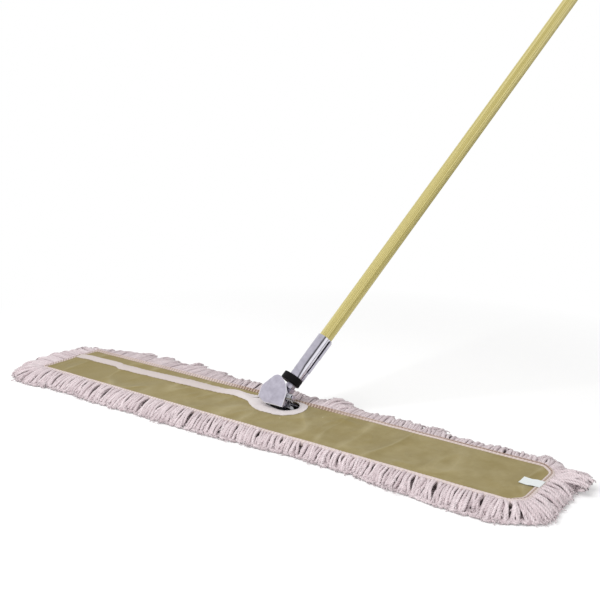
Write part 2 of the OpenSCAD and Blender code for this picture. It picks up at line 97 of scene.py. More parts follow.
def pickOnly(piece):
    bpy.ops.object.select_all(action="DESELECT")
    piece.select_set(True)
    bpy.context.view_layer.objects.active = piece


def addGrid(name, columns, rows):  # a unit grid, which the caller shapes
    bpy.ops.object.select_all(action="DESELECT")
    bpy.ops.mesh.primitive_grid_add(x_subdivisions=columns, y_subdivisions=rows, size=1)
    piece = bpy.context.object
    piece.name = piece.data.name = name
    return piece


def applyAll(piece):
    pickOnly(piece)
    for name in [m.name for m in piece.modifiers]:
        bpy.ops.object.modifier_apply(modifier=name)


def addThickness(piece, name, thickness, offset):
    shell = piece.modifiers.new(name, "SOLIDIFY")
    shell.thickness = thickness
    shell.offset = offset


def addBevel(piece, name, width, limit=30):
    bevel = piece.modifiers.new(name, "BEVEL")
    bevel.width = width
    bevel.segments = 2
    bevel.limit_method = "ANGLE"
    bevel.angle_limit = math.radians(limit)


def smoothBelow(degrees):
    bpy.ops.object.shade_smooth_by_angle(angle=math.radians(degrees))


def faceUp(piece):
    if sum(face.normal.z for face in piece.data.polygons) < 0:
        piece.data.flip_normals()


def paintTone(piece, tones):  # the share of pale, or of bright edge, that a material reads
    layer = piece.data.attributes.new("strandTone", "FLOAT", "POINT")
    layer.data.foreach_set("value", tones)


def makeSound(piece, mergeAt=0.00001):  # merged doubles and faces that point outwards
    pickOnly(piece)
    bpy.ops.object.mode_set(mode="EDIT")
    bpy.ops.mesh.select_all(action="SELECT")
    bpy.ops.mesh.remove_doubles(threshold=mergeAt)
    bpy.ops.mesh.normals_make_consistent(inside=False)
    bpy.ops.object.mode_set(mode="OBJECT")


# camera and stage
view = {"place": (0.7885, -0.9596, 0.4844), "azimuth": 36.52, "elevation": 13.19, "lens": 51.0, "sensor": 36}

camera = bpy.data.objects.new("photo_camera", bpy.data.cameras.new("photo_camera"))
scene.collection.objects.link(camera)
camera.data.lens = view["lens"]
camera.data.sensor_width = view["sensor"]
camera.location = view["place"]
camera.rotation_euler = (math.radians(90 - view["elevation"]), 0, math.radians(view["azimuth"]))
scene.camera = camera
scene.view_settings.view_transform = "Standard"

stage = {"floor": "efefef", "floorSize": 30, "below": 0.0004, "floorGlow": 0.16, "near": 0.6, "far": 1.0,
         "ambient": 0.48, "mirrored": 0.25, "right": (0.80, 0.60, 0.0), "flag": (-0.2, 0.5),
         "aim": (0, 0, 0.1)}
# place, size and power of each lamp
lamps = {"key_softbox": ((-0.7, -1.8, 2.6), 2.4, 76), "fill_softbox": ((2.6, -1.4, 1.9), 2.6, 27)}

bpy.ops.object.select_all(action="DESELECT")
bpy.ops.mesh.primitive_plane_add(size=stage["floorSize"], location=(0, 0, -stage["below"]))
floor = bpy.context.object
floor.name = "studio_floor"
paper, tree, shader = newMaterial("white_paper_sweep", stage["floor"], 0.95)
seen = addNode(tree, "LightPath").outputs
lit = addNode(tree, "Math", {"operation": "MAXIMUM"}, {0: seen["Is Camera Ray"], 1: seen["Is Glossy Ray"]})
glow = addNode(tree, "Math", {"operation": "MULTIPLY", 1: stage["floorGlow"]}, {0: lit})
shader.inputs["Emission Color"].default_value = linear("ffffff")
feed(tree, shader, Emission_Strength=glow)
# away from the mop the paper runs out into the white background
place = addNode(tree, "TexCoord").outputs["Object"]
away = addNode(tree, "VectorMath", {"operation": "LENGTH"}, {0: place})
fade = addNode(tree, "MapRange", {"From Min": stage["near"], "From Max": stage["far"]},
               {"Value": away.outputs["Value"]})
share = addNode(tree, "Math", {"operation": "MULTIPLY"}, {0: fade, 1: lit})
# and to the right it is dim where the tube mirrors it, as with a dark flag beside the set
aside = addNode(tree, "VectorMath", {"operation": "DOT_PRODUCT", 1: stage["right"]}, {0: place})
flag = addNode(tree, "MapRange", {"From Min": stage["flag"][0], "From Max": stage["flag"][1]},
               {"Value": aside.outputs["Value"]})
mirrored = addNode(tree, "Math", {"operation": "MULTIPLY"}, {0: flag, 1: seen["Is Glossy Ray"]})
dim = addNode(tree, "MapRange", {"To Min": 1.0, "To Max": stage["mirrored"]}, {"Value": mirrored})
plain = addNode(tree, "Emission", {"Color": "ffffff"}, {"Strength": dim})
blend = addNode(tree, "MixShader", None, {0: share, 1: shader, 2: plain})
feed(tree, tree.nodes["Material Output"], Surface=blend)
floor.data.materials.append(paper)

world = bpy.data.worlds.new("studio")
scene.world = world
world.use_nodes = True
tree = world.node_tree
seen = addNode(tree, "LightPath").outputs
bright = addNode(tree, "Math", {"operation": "MAXIMUM"}, {0: seen["Is Camera Ray"], 1: seen["Is Glossy Ray"]})
bright = addNode(tree, "Math", {"operation": "MAXIMUM"}, {0: bright, 1: seen["Is Transmission Ray"]})
level = addNode(tree, "MapRange", {"To Min": stage["ambient"], "To Max": 1.0}, {"Value": bright})
sky = tree.nodes["Background"]
sky.inputs["Color"].default_value = linear("ffffff")
feed(tree, sky, Strength=level)

for lampName, (spot, size, power) in lamps.items():
    lamp = bpy.data.objects.new(lampName, bpy.data.lights.new(lampName, "AREA"))
    lamp.data.size = size
    lamp.data.energy = power
    lamp.location = spot
    lamp.visible_glossy = False  # the plating mirrors the white room, not the lamps
    lamp.rotation_euler = (Vector(stage["aim"]) - Vector(spot)).to_track_quat("-Z", "Y").to_euler()
    scene.collection.objects.link(lamp)
print("camera and stage set")

# materials; sockets 6 and 7 of a Mix node are its two colours
multiplied = {"data_type": "RGBA", "blend_type": "MULTIPLY", 0: 1.0}

# Cotton canvas, plain woven and dyed khaki: a dry, even face with fine threads, soft mottling and stray lint
canvasSet = {"colour": "938454", "pale": "a4966a", "paintedHighlight": "b9ac84", "lint": "ddd6b8", "thread": 0.0016,
             "mottle": 0.03, "fold": 0.08, "lintGap": 0.04545}
khakiCanvas, tree, shader = newMaterial("khaki_cotton_canvas", canvasSet["colour"], 0.9, Sheen_Weight=0.12,
                                        Sheen_Roughness=0.5)
place = addNode(tree, "TexCoord").outputs["Object"]
# real threads lie about 0.6 mm apart; they are drawn at 1.6 mm so that they show
warp, weft = (addNode(tree, "TexWave", {"bands_direction": way, "Scale": band(canvasSet["thread"]),
                                        "Distortion": 0.6, "Detail": 1.0, "Detail Scale": 3.0},
                      {"Vector": place}) for way in "XY")
threads = addNode(tree, "Math", {"operation": "MULTIPLY"}, {0: warp.outputs[1], 1: weft.outputs[1]})
mottle = addNode(tree, "TexNoise", {"Scale": 1 / canvasSet["mottle"], "Detail": 5.0, "Roughness": 0.62},
                 {"Vector": place})
mottleShare = addNode(tree, "MapRange", {"From Min": 0.38, "From Max": 0.72}, {"Value": mottle})
along = addNode(tree, "SeparateXYZ", None, {0: place})
# darker towards the slit's end at the left, as painted shade where the light falls off: the pale mottle is
# damped there
leftShade = addNode(tree, "MapRange", {"From Min": -0.36, "From Max": -0.1, "To Min": 0.1, "To Max": 0.95},
                {"Value": along.outputs[0]})
mottleLeftShaded = addNode(tree, "Math", {"operation": "MULTIPLY"}, {0: mottleShare, 1: leftShade})
dyed = addNode(tree, "Mix", {"data_type": "RGBA", 6: canvasSet["colour"], 7: canvasSet["pale"]}, {0: mottleLeftShaded})
# creases left from folding, with a painted highlight along their tops
slant = addNode(tree, "Mapping", {"Rotation": (0, 0, 0.5), "Scale": (1.0, 0.6, 1.0)}, {"Vector": place})
folds = addNode(tree, "TexNoise", {"noise_type": "RIDGED_MULTIFRACTAL", "Scale": 1 / canvasSet["fold"],
                                   "Detail": 1.0, "Roughness": 0.4, "Distortion": 0.3, "Offset": 1.0},
                {"Vector": slant})
foldTop = addNode(tree, "MapRange", {"From Min": 1.0, "From Max": 1.36, "To Max": 0.5}, {"Value": folds})
dyed = addNode(tree, "Mix", {"data_type": "RGBA", 7: canvasSet["paintedHighlight"]}, {0: foldTop, 6: dyed})
threadShare = addNode(tree, "MapRange", {"To Min": 0.86, "To Max": 1.06}, {"Value": threads})
woven = addNode(tree, "Mix", multiplied, {6: dyed, 7: threadShare})
lint = addNode(tree, "TexVoronoi", {"Scale": 1 / canvasSet["lintGap"]}, {"Vector": place})
lintShare = addNode(tree, "MapRange", {"From Min": 0.035, "From Max": 0.02, "To Max": 0.7},
                    {"Value": lint.outputs["Distance"]})
linted = addNode(tree, "Mix", {"data_type": "RGBA", 7: canvasSet["lint"]}, {0: lintShare, 6: woven})
creased = addNode(tree, "Bump", {"Strength": 0.8, "Distance": 0.006}, {"Height": folds})
bump = addNode(tree, "Bump", {"Strength": 0.35, "Distance": 0.0004}, {"Height": threads, "Normal": creased})
feed(tree, shader, Base_Color=linted, Normal=bump)

# Spun cotton yarn, three plies twisted loosely: soft, pale, fuzzy, with a shadow between the plies
yarnSet = {"colour": "eadcdf", "deep": "a89196", "plies": 3, "pitch": 0.011, "fuzz": 0.003846}
cottonYarn, tree, shader = newMaterial("spun_cotton_yarn", yarnSet["colour"], 0.95, Sheen_Weight=0.25,
                                       Sheen_Roughness=0.6)
place = addNode(tree, "TexCoord").outputs
along = addNode(tree, "SeparateXYZ", None, {0: place["UV"]})
turns = addNode(tree, "Math", {"operation": "MULTIPLY", 1: 1 / yarnSet["pitch"]}, {0: along.outputs[0]})
wound = addNode(tree, "Math", {"operation": "ADD"}, {0: turns, 1: along.outputs[1]})
phase = addNode(tree, "Math", {"operation": "MULTIPLY", 1: 2 * math.pi * yarnSet["plies"]}, {0: wound})
plies = addNode(tree, "Math", {"operation": "SINE"}, {0: phase})
plyShare = addNode(tree, "MapRange", {"From Min": -1.0}, {"Value": plies})
fuzz = addNode(tree, "TexNoise", {"Scale": 1 / yarnSet["fuzz"], "Detail": 4.0}, {"Vector": place["Object"]})
# strandTone sets each yarn's own tone; on the lower layers and the sole it is lower, as painted shade
strand = addNode(tree, "Attribute", {"attribute_name": "strandTone"})
toned = addNode(tree, "Mix", {"data_type": "RGBA", 6: yarnSet["deep"], 7: yarnSet["colour"]},
                {0: strand.outputs["Fac"]})
plyTone = addNode(tree, "MapRange", {"To Min": 0.86, "To Max": 1.04}, {"Value": plyShare})
twisted = addNode(tree, "Mix", multiplied, {6: toned, 7: plyTone})
fuzzTone = addNode(tree, "MapRange", {"From Min": 0.3, "From Max": 0.7, "To Min": 0.9, "To Max": 1.05},
                   {"Value": fuzz})
fuzzy = addNode(tree, "Mix", multiplied, {6: twisted, 7: fuzzTone})
bump = addNode(tree, "Bump", {"Strength": 0.6, "Distance": 0.0008}, {"Height": plyShare})
feed(tree, shader, Base_Color=fuzzy, Normal=bump)

# Cotton twill tape, bleached: diagonal ribs on a bright, slightly lilac white
# the ribs are drawn at twice their real width so that they show
tapeSet = {"colour": "e6dfdf", "deep": "cfc6c6", "slitToned": "c9bcb8", "rib": 0.0022, "soil": 0.01818}
twillTape, tree, shader = newMaterial("bleached_twill_tape", tapeSet["colour"], 0.85, Sheen_Weight=0.1)
place = addNode(tree, "TexCoord").outputs
ribs = addNode(tree, "TexWave", {"bands_direction": "DIAGONAL", "Scale": band(tapeSet["rib"]) * 0.7,
                                 "Distortion": 0.4}, {"Vector": place["UV"]})
soil = addNode(tree, "TexNoise", {"Scale": 1 / tapeSet["soil"], "Detail": 4.0}, {"Vector": place["Object"]})
soiled = addNode(tree, "Mix", {"data_type": "RGBA", 6: tapeSet["deep"], 7: tapeSet["colour"]}, {0: soil})
along = addNode(tree, "SeparateXYZ", None, {0: place["Object"]})
# the slit's lips are darker and warmer than the ring round the opening
slitShare = addNode(tree, "MapRange", {"From Min": -0.03, "From Max": -0.12, "To Max": 0.8},
                  {"Value": along.outputs[0]})
slitToned = addNode(tree, "Mix", {"data_type": "RGBA", 7: tapeSet["slitToned"]}, {0: slitShare, 6: soiled})
bump = addNode(tree, "Bump", {"Strength": 0.4, "Distance": 0.0003}, {"Height": ribs.outputs[1]})
feed(tree, shader, Base_Color=slitToned, Normal=bump)

# Overlocked edge in beige thread: slanted runs side by side over a rolled hem, browner on the far edge
braidSet = {"colour": "e2d6d3", "deep": "bfada8", "brown": "c6b4a3", "brownDeep": "75564b", "run": 0.0056,
            "slant": 150.0}
edgeBraid, tree, shader = newMaterial("overlocked_beige_thread", braidSet["colour"], 0.9, Sheen_Weight=0.1)
place = addNode(tree, "TexCoord").outputs
run = addNode(tree, "SeparateXYZ", None, {0: place["UV"]})
lean = addNode(tree, "Math", {"operation": "MULTIPLY", 1: braidSet["slant"]}, {0: run.outputs[1]})
phase = addNode(tree, "Math", {"operation": "MULTIPLY_ADD", 1: 1 / braidSet["run"]},
                {0: run.outputs[0], 2: lean})
phase = addNode(tree, "Math", {"operation": "MULTIPLY", 1: 2 * math.pi}, {0: phase})
loops = addNode(tree, "Math", {"operation": "SINE"}, {0: phase})
loopShare = addNode(tree, "MapRange", {"From Min": -1.0}, {"Value": loops})
# the runs are pulled flat towards the label's end
at = addNode(tree, "SeparateXYZ", None, {0: place["Object"]})
calm = addNode(tree, "MapRange", {"From Min": 0.05, "From Max": 0.2, "To Max": 0.7}, {"Value": at.outputs[0]})
loopShare = addNode(tree, "Mix", {"data_type": "FLOAT", 3: 0.55}, {0: calm, 2: loopShare})
pale, brown = (addNode(tree, "Mix", {"data_type": "RGBA", 6: braidSet[low], 7: braidSet[high]},
                       {0: loopShare}) for low, high in (("deep", "colour"), ("brownDeep", "brown")))
washed = addNode(tree, "Attribute", {"attribute_name": "strandTone"})
braided = addNode(tree, "Mix", {"data_type": "RGBA"}, {0: washed.outputs["Fac"], 6: brown, 7: pale})
bump = addNode(tree, "Bump", {"Strength": 0.7, "Distance": 0.0005}, {"Height": loopShare})
feed(tree, shader, Base_Color=braided, Normal=bump)


def clouded(name, deep, pale, size, detail, roughness, grain=0.0, **sockets):  # two tones in soft clouds
    made, tree, shader = newMaterial(name, pale, roughness, **sockets)
    place = addNode(tree, "TexCoord").outputs["Object"]
    cloud = addNode(tree, "TexNoise", {"Scale": 1 / size, "Detail": detail}, {"Vector": place})
    tone = addNode(tree, "Mix", {"data_type": "RGBA", 6: deep, 7: pale}, {0: cloud})
    feed(tree, shader, Base_Color=tone)
    if grain:
        bump = addNode(tree, "Bump", {"Strength": 0.2, "Distance": grain}, {"Height": cloud})
        feed(tree, shader, Normal=bump)
    return made


# Backing duck under the frame: its colour is painted near black, as the shade deep in the pocket, where it is
# seldom lit
backingCanvas = clouded("backing_duck", "14120f", "221f1a", size=0.025, detail=4.0, roughness=0.95)
# Polyester sewing thread, dusty red-brown: a slight shine on each stitch
stitchThread = clouded("brown_sewing_thread", "7d5a52", "b59a8f", size=0.00833, detail=2.0, roughness=0.6)
# Moulded nylon, black: hardly any sheen on a fine spark-eroded grain
blackNylon = clouded("moulded_black_nylon", "050405", "0e0c0d", size=0.00143, detail=3.0, roughness=0.6,
                     grain=0.0002, Specular_IOR_Level=0.15)
# Natural nylon bush: milky ivory with a soft shine
naturalNylon = clouded("natural_nylon", "d8d2c2", "e8e4d8", size=0.0111, detail=2.0, roughness=0.4)

# Woven satin label, left blank: smooth, bright white with faint lines, drawn coarse enough to show
labelWeave = {"colour": "e3e8e8", "line": 0.0012}
labelSatin, tree, shader = newMaterial("blank_satin_label", labelWeave["colour"], 0.55)
place = addNode(tree, "TexCoord").outputs["Object"]
floats = addNode(tree, "TexWave", {"Scale": band(labelWeave["line"]), "Distortion": 0.3}, {"Vector": place})
lines = addNode(tree, "MapRange", {"To Min": 0.92, "To Max": 1.0}, {"Value": floats.outputs[1]})
lined = addNode(tree, "Mix", {**multiplied, 6: labelWeave["colour"]}, {7: lines})
feed(tree, shader, Base_Color=lined)

# shared by all plated pieces: clouds in the plating; shade painted into crevices from ambient occlusion (full
# below the open share dark, none above the share clear); and a painted highlight on edges where a piece is
# marked so
platedSet = {"paintedHighlight": "f2f1f5", "crevice": 0.004, "darkestShade": 0.12}


def platedMetal(name, colour, deep, roughness, size, dark=0.35, clear=0.85):
    made, tree, shader = newMaterial(name, colour, roughness, 1.0)
    place = addNode(tree, "TexCoord").outputs["Object"]
    cloud = addNode(tree, "TexNoise", {"Scale": 1 / size, "Detail": 5.0, "Roughness": 0.6}, {"Vector": place})
    share = addNode(tree, "MapRange", {"From Min": 0.3, "From Max": 0.7}, {"Value": cloud})
    tint = addNode(tree, "Mix", {"data_type": "RGBA", 6: deep, 7: colour}, {0: share})
    # painted shade: ambient occlusion darkens the plating's colour in crevices and gaps
    crevice = addNode(tree, "AmbientOcclusion", {"samples": 8, "Distance": platedSet["crevice"]})
    creviceShade = addNode(tree, "MapRange", {"From Min": dark, "From Max": clear, "To Min": platedSet["darkestShade"]},
                    {"Value": crevice.outputs["AO"]})
    creviceShaded = addNode(tree, "Mix", multiplied, {6: tint, 7: creviceShade})
    # painted highlight: edges marked in strandTone are lightened towards a near white
    paintedHighlight = addNode(tree, "Attribute", {"attribute_name": "strandTone"})
    edged = addNode(tree, "Mix", {"data_type": "RGBA", 7: platedSet["paintedHighlight"]},
                    {0: paintedHighlight.outputs["Fac"], 6: creviceShaded})
    feed(tree, shader, Base_Color=edged)
    dull = addNode(tree, "MapRange", {"From Min": 0.3, "From Max": 0.7, "To Min": roughness * 1.25,
                                      "To Max": roughness * 0.85}, {"Value": cloud})
    feed(tree, shader, Roughness=dull)
    return made


# place and lean of the neck, which the handle's patterns are turned by
neck = {"place": (0.018, 0.037706, 0.03539), "tilt": -42, "lean": 14.2}


def upNeck(turn):  # turns a pattern's Z onto the handle's axis
    turns = ((neck["tilt"], "X"), (neck["lean"], "Y"), (turn, "Z"))
    tilted, leant, turned = (Matrix.Rotation(math.radians(angle), 3, axis) for angle, axis in turns)
    return (tilted @ leant @ turned).to_euler()


# Zinc plated sheet steel: a pale grey satin with faint clouds in the plating
zincPlate = platedMetal("zinc_plated_steel", "c8c4d2", "b0acba", roughness=0.34, size=0.009, dark=0.5,
                        clear=0.96)
# Bright drawn sleeve in the ferrule: the whitest metal here
brightSleeve = platedMetal("bright_drawn_sleeve", "efedf6", "e2e0ea", roughness=0.15, size=0.014, dark=0.7,
                           clear=0.93)
# Bright spring wire: pale, with shade painted in the gaps between the turns
springWire = platedMetal("bright_spring_wire", "eeeef3", "c4c6ce", roughness=0.22, size=0.004, dark=0.3,
                         clear=0.75)
# Drawn steel wire of the frame: plain grey, dulled by handling
drawnWire = platedMetal("drawn_steel_wire", "b4b4b8", "96969b", roughness=0.38, size=0.008)

# Nickel plated rolled steel of the ferrule: smoother than zinc and a little darker, with shade painted along
# its seam
nickelPlate = platedMetal("nickel_plated_steel", "c3c0cd", "a7a4b0", roughness=0.22, size=0.012)
# the seam's lip turns in, with a line of painted shade beside it; the pattern's X looks out of the seam, its
# Z up the tube
seam = {"turn": -27, "foot": 0.0351, "neck": 0.022, "half": (0.00315, 0.00525), "line": (0.0006, 0.0026)}
tree = nickelPlate.node_tree
place = addNode(tree, "TexCoord").outputs["Object"]
atSeam = addNode(tree, "Mapping", {"vector_type": "TEXTURE", "Location": neck["place"],
                                   "Rotation": upNeck(seam["turn"])}, {"Vector": place})
out, across, up = addNode(tree, "SeparateXYZ", None, {0: atSeam}).outputs
half = addNode(tree, "MapRange", {"From Min": seam["foot"], "From Max": seam["foot"] + seam["neck"],
                                  "To Min": seam["half"][0], "To Max": seam["half"][1]}, {"Value": up})
past = addNode(tree, "Math", {"operation": "ADD"}, {0: across, 1: half})
# the line of painted shade along the seam's edge
lip = addNode(tree, "MapRange", {"From Min": -seam["line"][1], "From Max": -seam["line"][0], "To Min": 1.0,
                                 "To Max": platedSet["darkestShade"]}, {"Value": past})
plainSide = addNode(tree, "Math", {"operation": "GREATER_THAN", 1: 0.0}, {0: across})
back = addNode(tree, "Math", {"operation": "LESS_THAN", 1: 0.0}, {0: out})
clear = addNode(tree, "Math", {"operation": "MAXIMUM"}, {0: plainSide, 1: back})
shown = addNode(tree, "Math", {"operation": "MAXIMUM"}, {0: lip, 1: clear})
shader = tree.nodes["Principled BSDF"]
plating = shader.inputs["Base Color"].links[0].from_socket
lined = addNode(tree, "Mix", multiplied, {6: plating, 7: shown})
feed(tree, shader, Base_Color=lined)

# Anodised aluminium tube, dyed gold: satin yellow, flutes darkened with painted shade, long streaks from the
# drawing die
goldSet = {"colour": "e6da9a", "deep": "b9ab5c", "groove": "83753a", "streak": 0.0022, "stretch": 400,
           "flutes": 24}
goldTube, tree, shader = newMaterial("gold_anodised_aluminium", goldSet["colour"], 0.34, 0.6,
                                     Coat_Weight=0.8, Coat_Roughness=0.3)
place = addNode(tree, "TexCoord").outputs["Object"]
turned = addNode(tree, "Mapping", {"vector_type": "TEXTURE", "Location": neck["place"],
                                   "Rotation": upNeck(0)}, {"Vector": place})
drawn = addNode(tree, "Mapping", {"vector_type": "TEXTURE", "Scale": (1, 1, goldSet["stretch"])},
                {"Vector": turned})
streaks = addNode(tree, "TexNoise", {"Scale": 1 / goldSet["streak"], "Detail": 2.0}, {"Vector": drawn})
streakShare = addNode(tree, "MapRange", {"From Min": 0.32, "From Max": 0.68}, {"Value": streaks})
streaked = addNode(tree, "Mix", {"data_type": "RGBA", 6: goldSet["deep"], 7: goldSet["colour"]},
                   {0: streakShare})
spread = addNode(tree, "SeparateXYZ", None, {0: turned}).outputs
angle = addNode(tree, "Math", {"operation": "ARCTAN2"}, {0: spread[1], 1: spread[0]})
flutes = addNode(tree, "Math", {"operation": "MULTIPLY", 1: goldSet["flutes"]}, {0: angle})
fluted = addNode(tree, "Math", {"operation": "COSINE"}, {0: flutes})
# painted shade: the colour darkens towards each flute's groove
grooveShare = addNode(tree, "MapRange", {"From Min": 0.1, "From Max": 0.9, "To Max": 0.4}, {"Value": fluted})
grooved = addNode(tree, "Mix", {"data_type": "RGBA", 7: goldSet["groove"]}, {0: grooveShare, 6: streaked})
feed(tree, shader, Base_Color=grooved)

for nodeName, material in {
        "frame_loop": drawnWire, "cross_wires": drawnWire, "centre_bar": drawnWire, "clip_body": zincPlate,
        "jaw_pin": zincPlate, "lean_pin": zincPlate, "neck_yoke": zincPlate, "front_jaw": zincPlate,
        "collar": blackNylon, "stud_ring": springWire, "swivel_bush": naturalNylon, "ferrule": nickelPlate,
        "ferrule_liner": brightSleeve, "ferrule_rivet": zincPlate, "handle_tube": goldTube,
        "end_cap": blackNylon}.items():
    nodes[nodeName].data.materials.clear()
    nodes[nodeName].data.materials.append(material)
print("materials made")

# the pocket's lines, shared by the canvas, its edges and the fringe
pocket = {"length": 0.905, "width": 0.127, "rightCut": 0.018, "leftCut": 0.006, "top": 0.020}
halfLong, halfWide = pocket["length"] / 2, pocket["width"] / 2
opening = {"x": 0.0125, "y": 0.032, "run": 0.016, "radius": 0.021, "slitGap": 0.002, "slant": 0.019,
           "neckTurn": 86, "lipSteps": 140, "easeReach": 0.045, "easeRounds": 60}


def ease(low, high, x):
    t = min(1.0, max(0.0, (x - low) / (high - low)))
    return t * t * (3 - 2 * t)


def ripple(x, y, z=0.0):
    return noise.noise(Vector((x, y, z)))


def facing(part):  # how squarely an edge looks one way, from that part of its normal
    return max(0.0, part) ** 2


def pocketLoop(inset, bend, spacing):  # points and outward normals round the pocket, anticlockwise from above
    x, y = halfLong - inset, halfWide - inset
    right, left = (pocket[cut] - inset * (2 - math.sqrt(2)) for cut in ("rightCut", "leftCut"))
    corners = [Vector(p) for p in ((-x + left, -y), (x - right, -y), (x, -y + right), (x, y - right),
                                   (x - right, y), (-x + left, y), (-x, y - left), (-x, -y + left))]
    half = math.tan(math.radians(22.5))
    # a bend takes just under half of its cut, so that the two on a cut don't meet
    bends = [min(bend, 0.47 * math.sqrt(2) * (right if p.x > 0 else left) / half) for p in corners]
    points, normals = [], []
    for i, corner in enumerate(corners):
        follows = (i + 1) % len(corners)
        into = (corner - corners[i - 1]).normalized()
        out = (corners[follows] - corner).normalized()
        centre = corner - into * bends[i] * half + Vector((-into.y, into.x)) * bends[i]
        steps = max(3, round(bends[i] * math.pi / 4 / spacing))
        for k in range(steps + 1):
            normal = Vector((into.y, -into.x))
            normal.rotate(Matrix.Rotation(math.radians(45) * k / steps, 2))
            points.append(centre + normal * bends[i])
            normals.append(normal)
        begin = corner + out * bends[i] * half
        end = corners[follows] - out * bends[follows] * half
        steps = max(1, round((end - begin).length / spacing))
        for k in range(1, steps):
            points.append(begin.lerp(end, k / steps))
            normals.append(Vector((out.y, -out.x)))
    return points, normals


def slitY(x):
    return opening["y"] - opening["slant"] * (opening["x"] - x) / (halfLong + opening["x"])


def keyholePath(leftEnd):  # far lip of the slit, round the opening, and back along the near lip
    gap, r, y, neckTurn = opening["slitGap"] / 2, opening["radius"], opening["y"], opening["neckTurn"]
    left, right = opening["x"] - opening["run"], opening["x"] + opening["run"]

    def arc(x, start, turn, steps):
        angles = [math.radians(start - turn * k / steps) for k in range(steps + 1)]
        return [Vector((x + r * math.cos(a), y + r * math.sin(a))) for a in angles]

    def straight(x0, x1, side, steps=13):
        return [Vector((x0 + (x1 - x0) * k / steps, side)) for k in range(1, steps)]

    lip = [leftEnd + (left - r - leftEnd) * k / opening["lipSteps"] for k in range(opening["lipSteps"])]
    raw = [Vector((x, slitY(x) + gap)) for x in lip]
    raw += arc(left, 90 + neckTurn, neckTurn, 9) + straight(left, right, y + r) + arc(right, 90, 180, 20)
    raw += straight(right, left, y - r) + arc(left, 270, neckTurn, 9)
    raw += [Vector((x, slitY(x) - gap)) for x in reversed(lip)]
    for turn in range(opening["easeRounds"]):  # ease the corners where the slit meets the opening
        eased = [raw[0]]
        for i in range(1, len(raw) - 1):
            share = max(0.0, 1 - abs(raw[i].x - (left - r)) / opening["easeReach"]) * 0.5
            eased.append(raw[i].lerp((raw[i - 1] + raw[i + 1]) / 2, share))
        raw = eased + [raw[-1]]
    return raw


# lips of the slit, which puff up left of the clip; the near lip lies over the far one
lipSet = {"rise": 0.0028, "ripple": 0.0006, "farRise": 0.0002, "reach": 0.014, "puff": 0.0042, "farPuff": 0.7,
          "puffX": -0.07, "puffReach": 0.03, "lap": 0.003, "kinkLap": 0.009, "kink": (-0.325, -0.345),
          "puffLap": 0.004, "lapReach": 0.045}


def puffed(x):
    return math.exp(-((x - lipSet["puffX"]) / lipSet["puffReach"]) ** 2)


def lipRaise(x, far):  # how far a lip of the slit stands up
    puff = lipSet["puff"] * puffed(x)
    if far:
        return lipSet["farRise"] * ease(-0.03, -0.09, x) + lipSet["farPuff"] * puff
    raised = (lipSet["rise"] + lipSet["ripple"] * ripple(x * 16, 7.7)) * ease(-0.03, -0.07, x)
    return raised * (0.55 + 0.45 * ease(-0.452, -0.42, x)) + puff


def lipLap(x):  # how far the near lip is drawn over the far one; the step in it shows as a kink
    lap = lipSet["lap"] + lipSet["kinkLap"] * ease(*lipSet["kink"], x)
    return lap * ease(-0.05, -0.12, x) + lipSet["puffLap"] * puffed(x)


# canvas cover: one sheet with the slit and the opening cut in it, which the tape's ring lifts
coverSet = {"grid": 0.0042, "rows": 15, "jitter": 0.0009, "clear": 0.0021, "seed": 4, "thick": 0.0012,
            "inset": 0.0011, "bend": 0.016, "spacing": 0.006, "slitEnd": 0.0012, "mouth": (0.002, 0.004),
            "lift": 0.0002, "hem": 0.006, "fade": 0.018, "swell": 0.0008, "ripple": 0.0004, "crease": 1.7}
ringSet = {"rise": 0.0008, "farRise": 0.0020, "leftRise": 0.0021, "most": 0.003, "reach": 0.013}
# creases: from, to, height and half width, in mm
creases = [
    ((50, 60), (86, 54), 0.8, 3.5), ((117, 8), (134, 58), 1.0, 4), ((116, 39), (160, 36), 0.9, 4),
    ((262, -3), (252, 50), 1.1, 4), ((254, 4), (276, -35), 0.9, 4), ((264, -47), (294, -41), 0.9, 3),
    ((343, 52), (366, 45), 0.6, 4), ((-115, -26), (-103, 8), 1.1, 4), ((-72, -17), (-66, 14), 1.2, 4),
    ((-22, -52), (-6, -4), 1.2, 5), ((-134, -28), (-127, 0), 0.9, 4), ((-303, -56), (-310, -27), 0.8, 4),
    ((-422, -54), (-438, -2), 1.0, 4), ((-268, -29), (-261, 8), 0.8, 4), ((-190, 40), (-160, 30), 0.7, 4),
    ((98, 10), (150, -30), 0.4, 8), ((300, 40), (352, 12), 0.4, 8), ((-420, 6), (-380, -30), 0.5, 7),
    ((60, -14), (88, 20), 0.8, 4), ((400, -20), (430, -48), 0.5, 6), ((190, -30), (208, 6), 0.6, 5)]


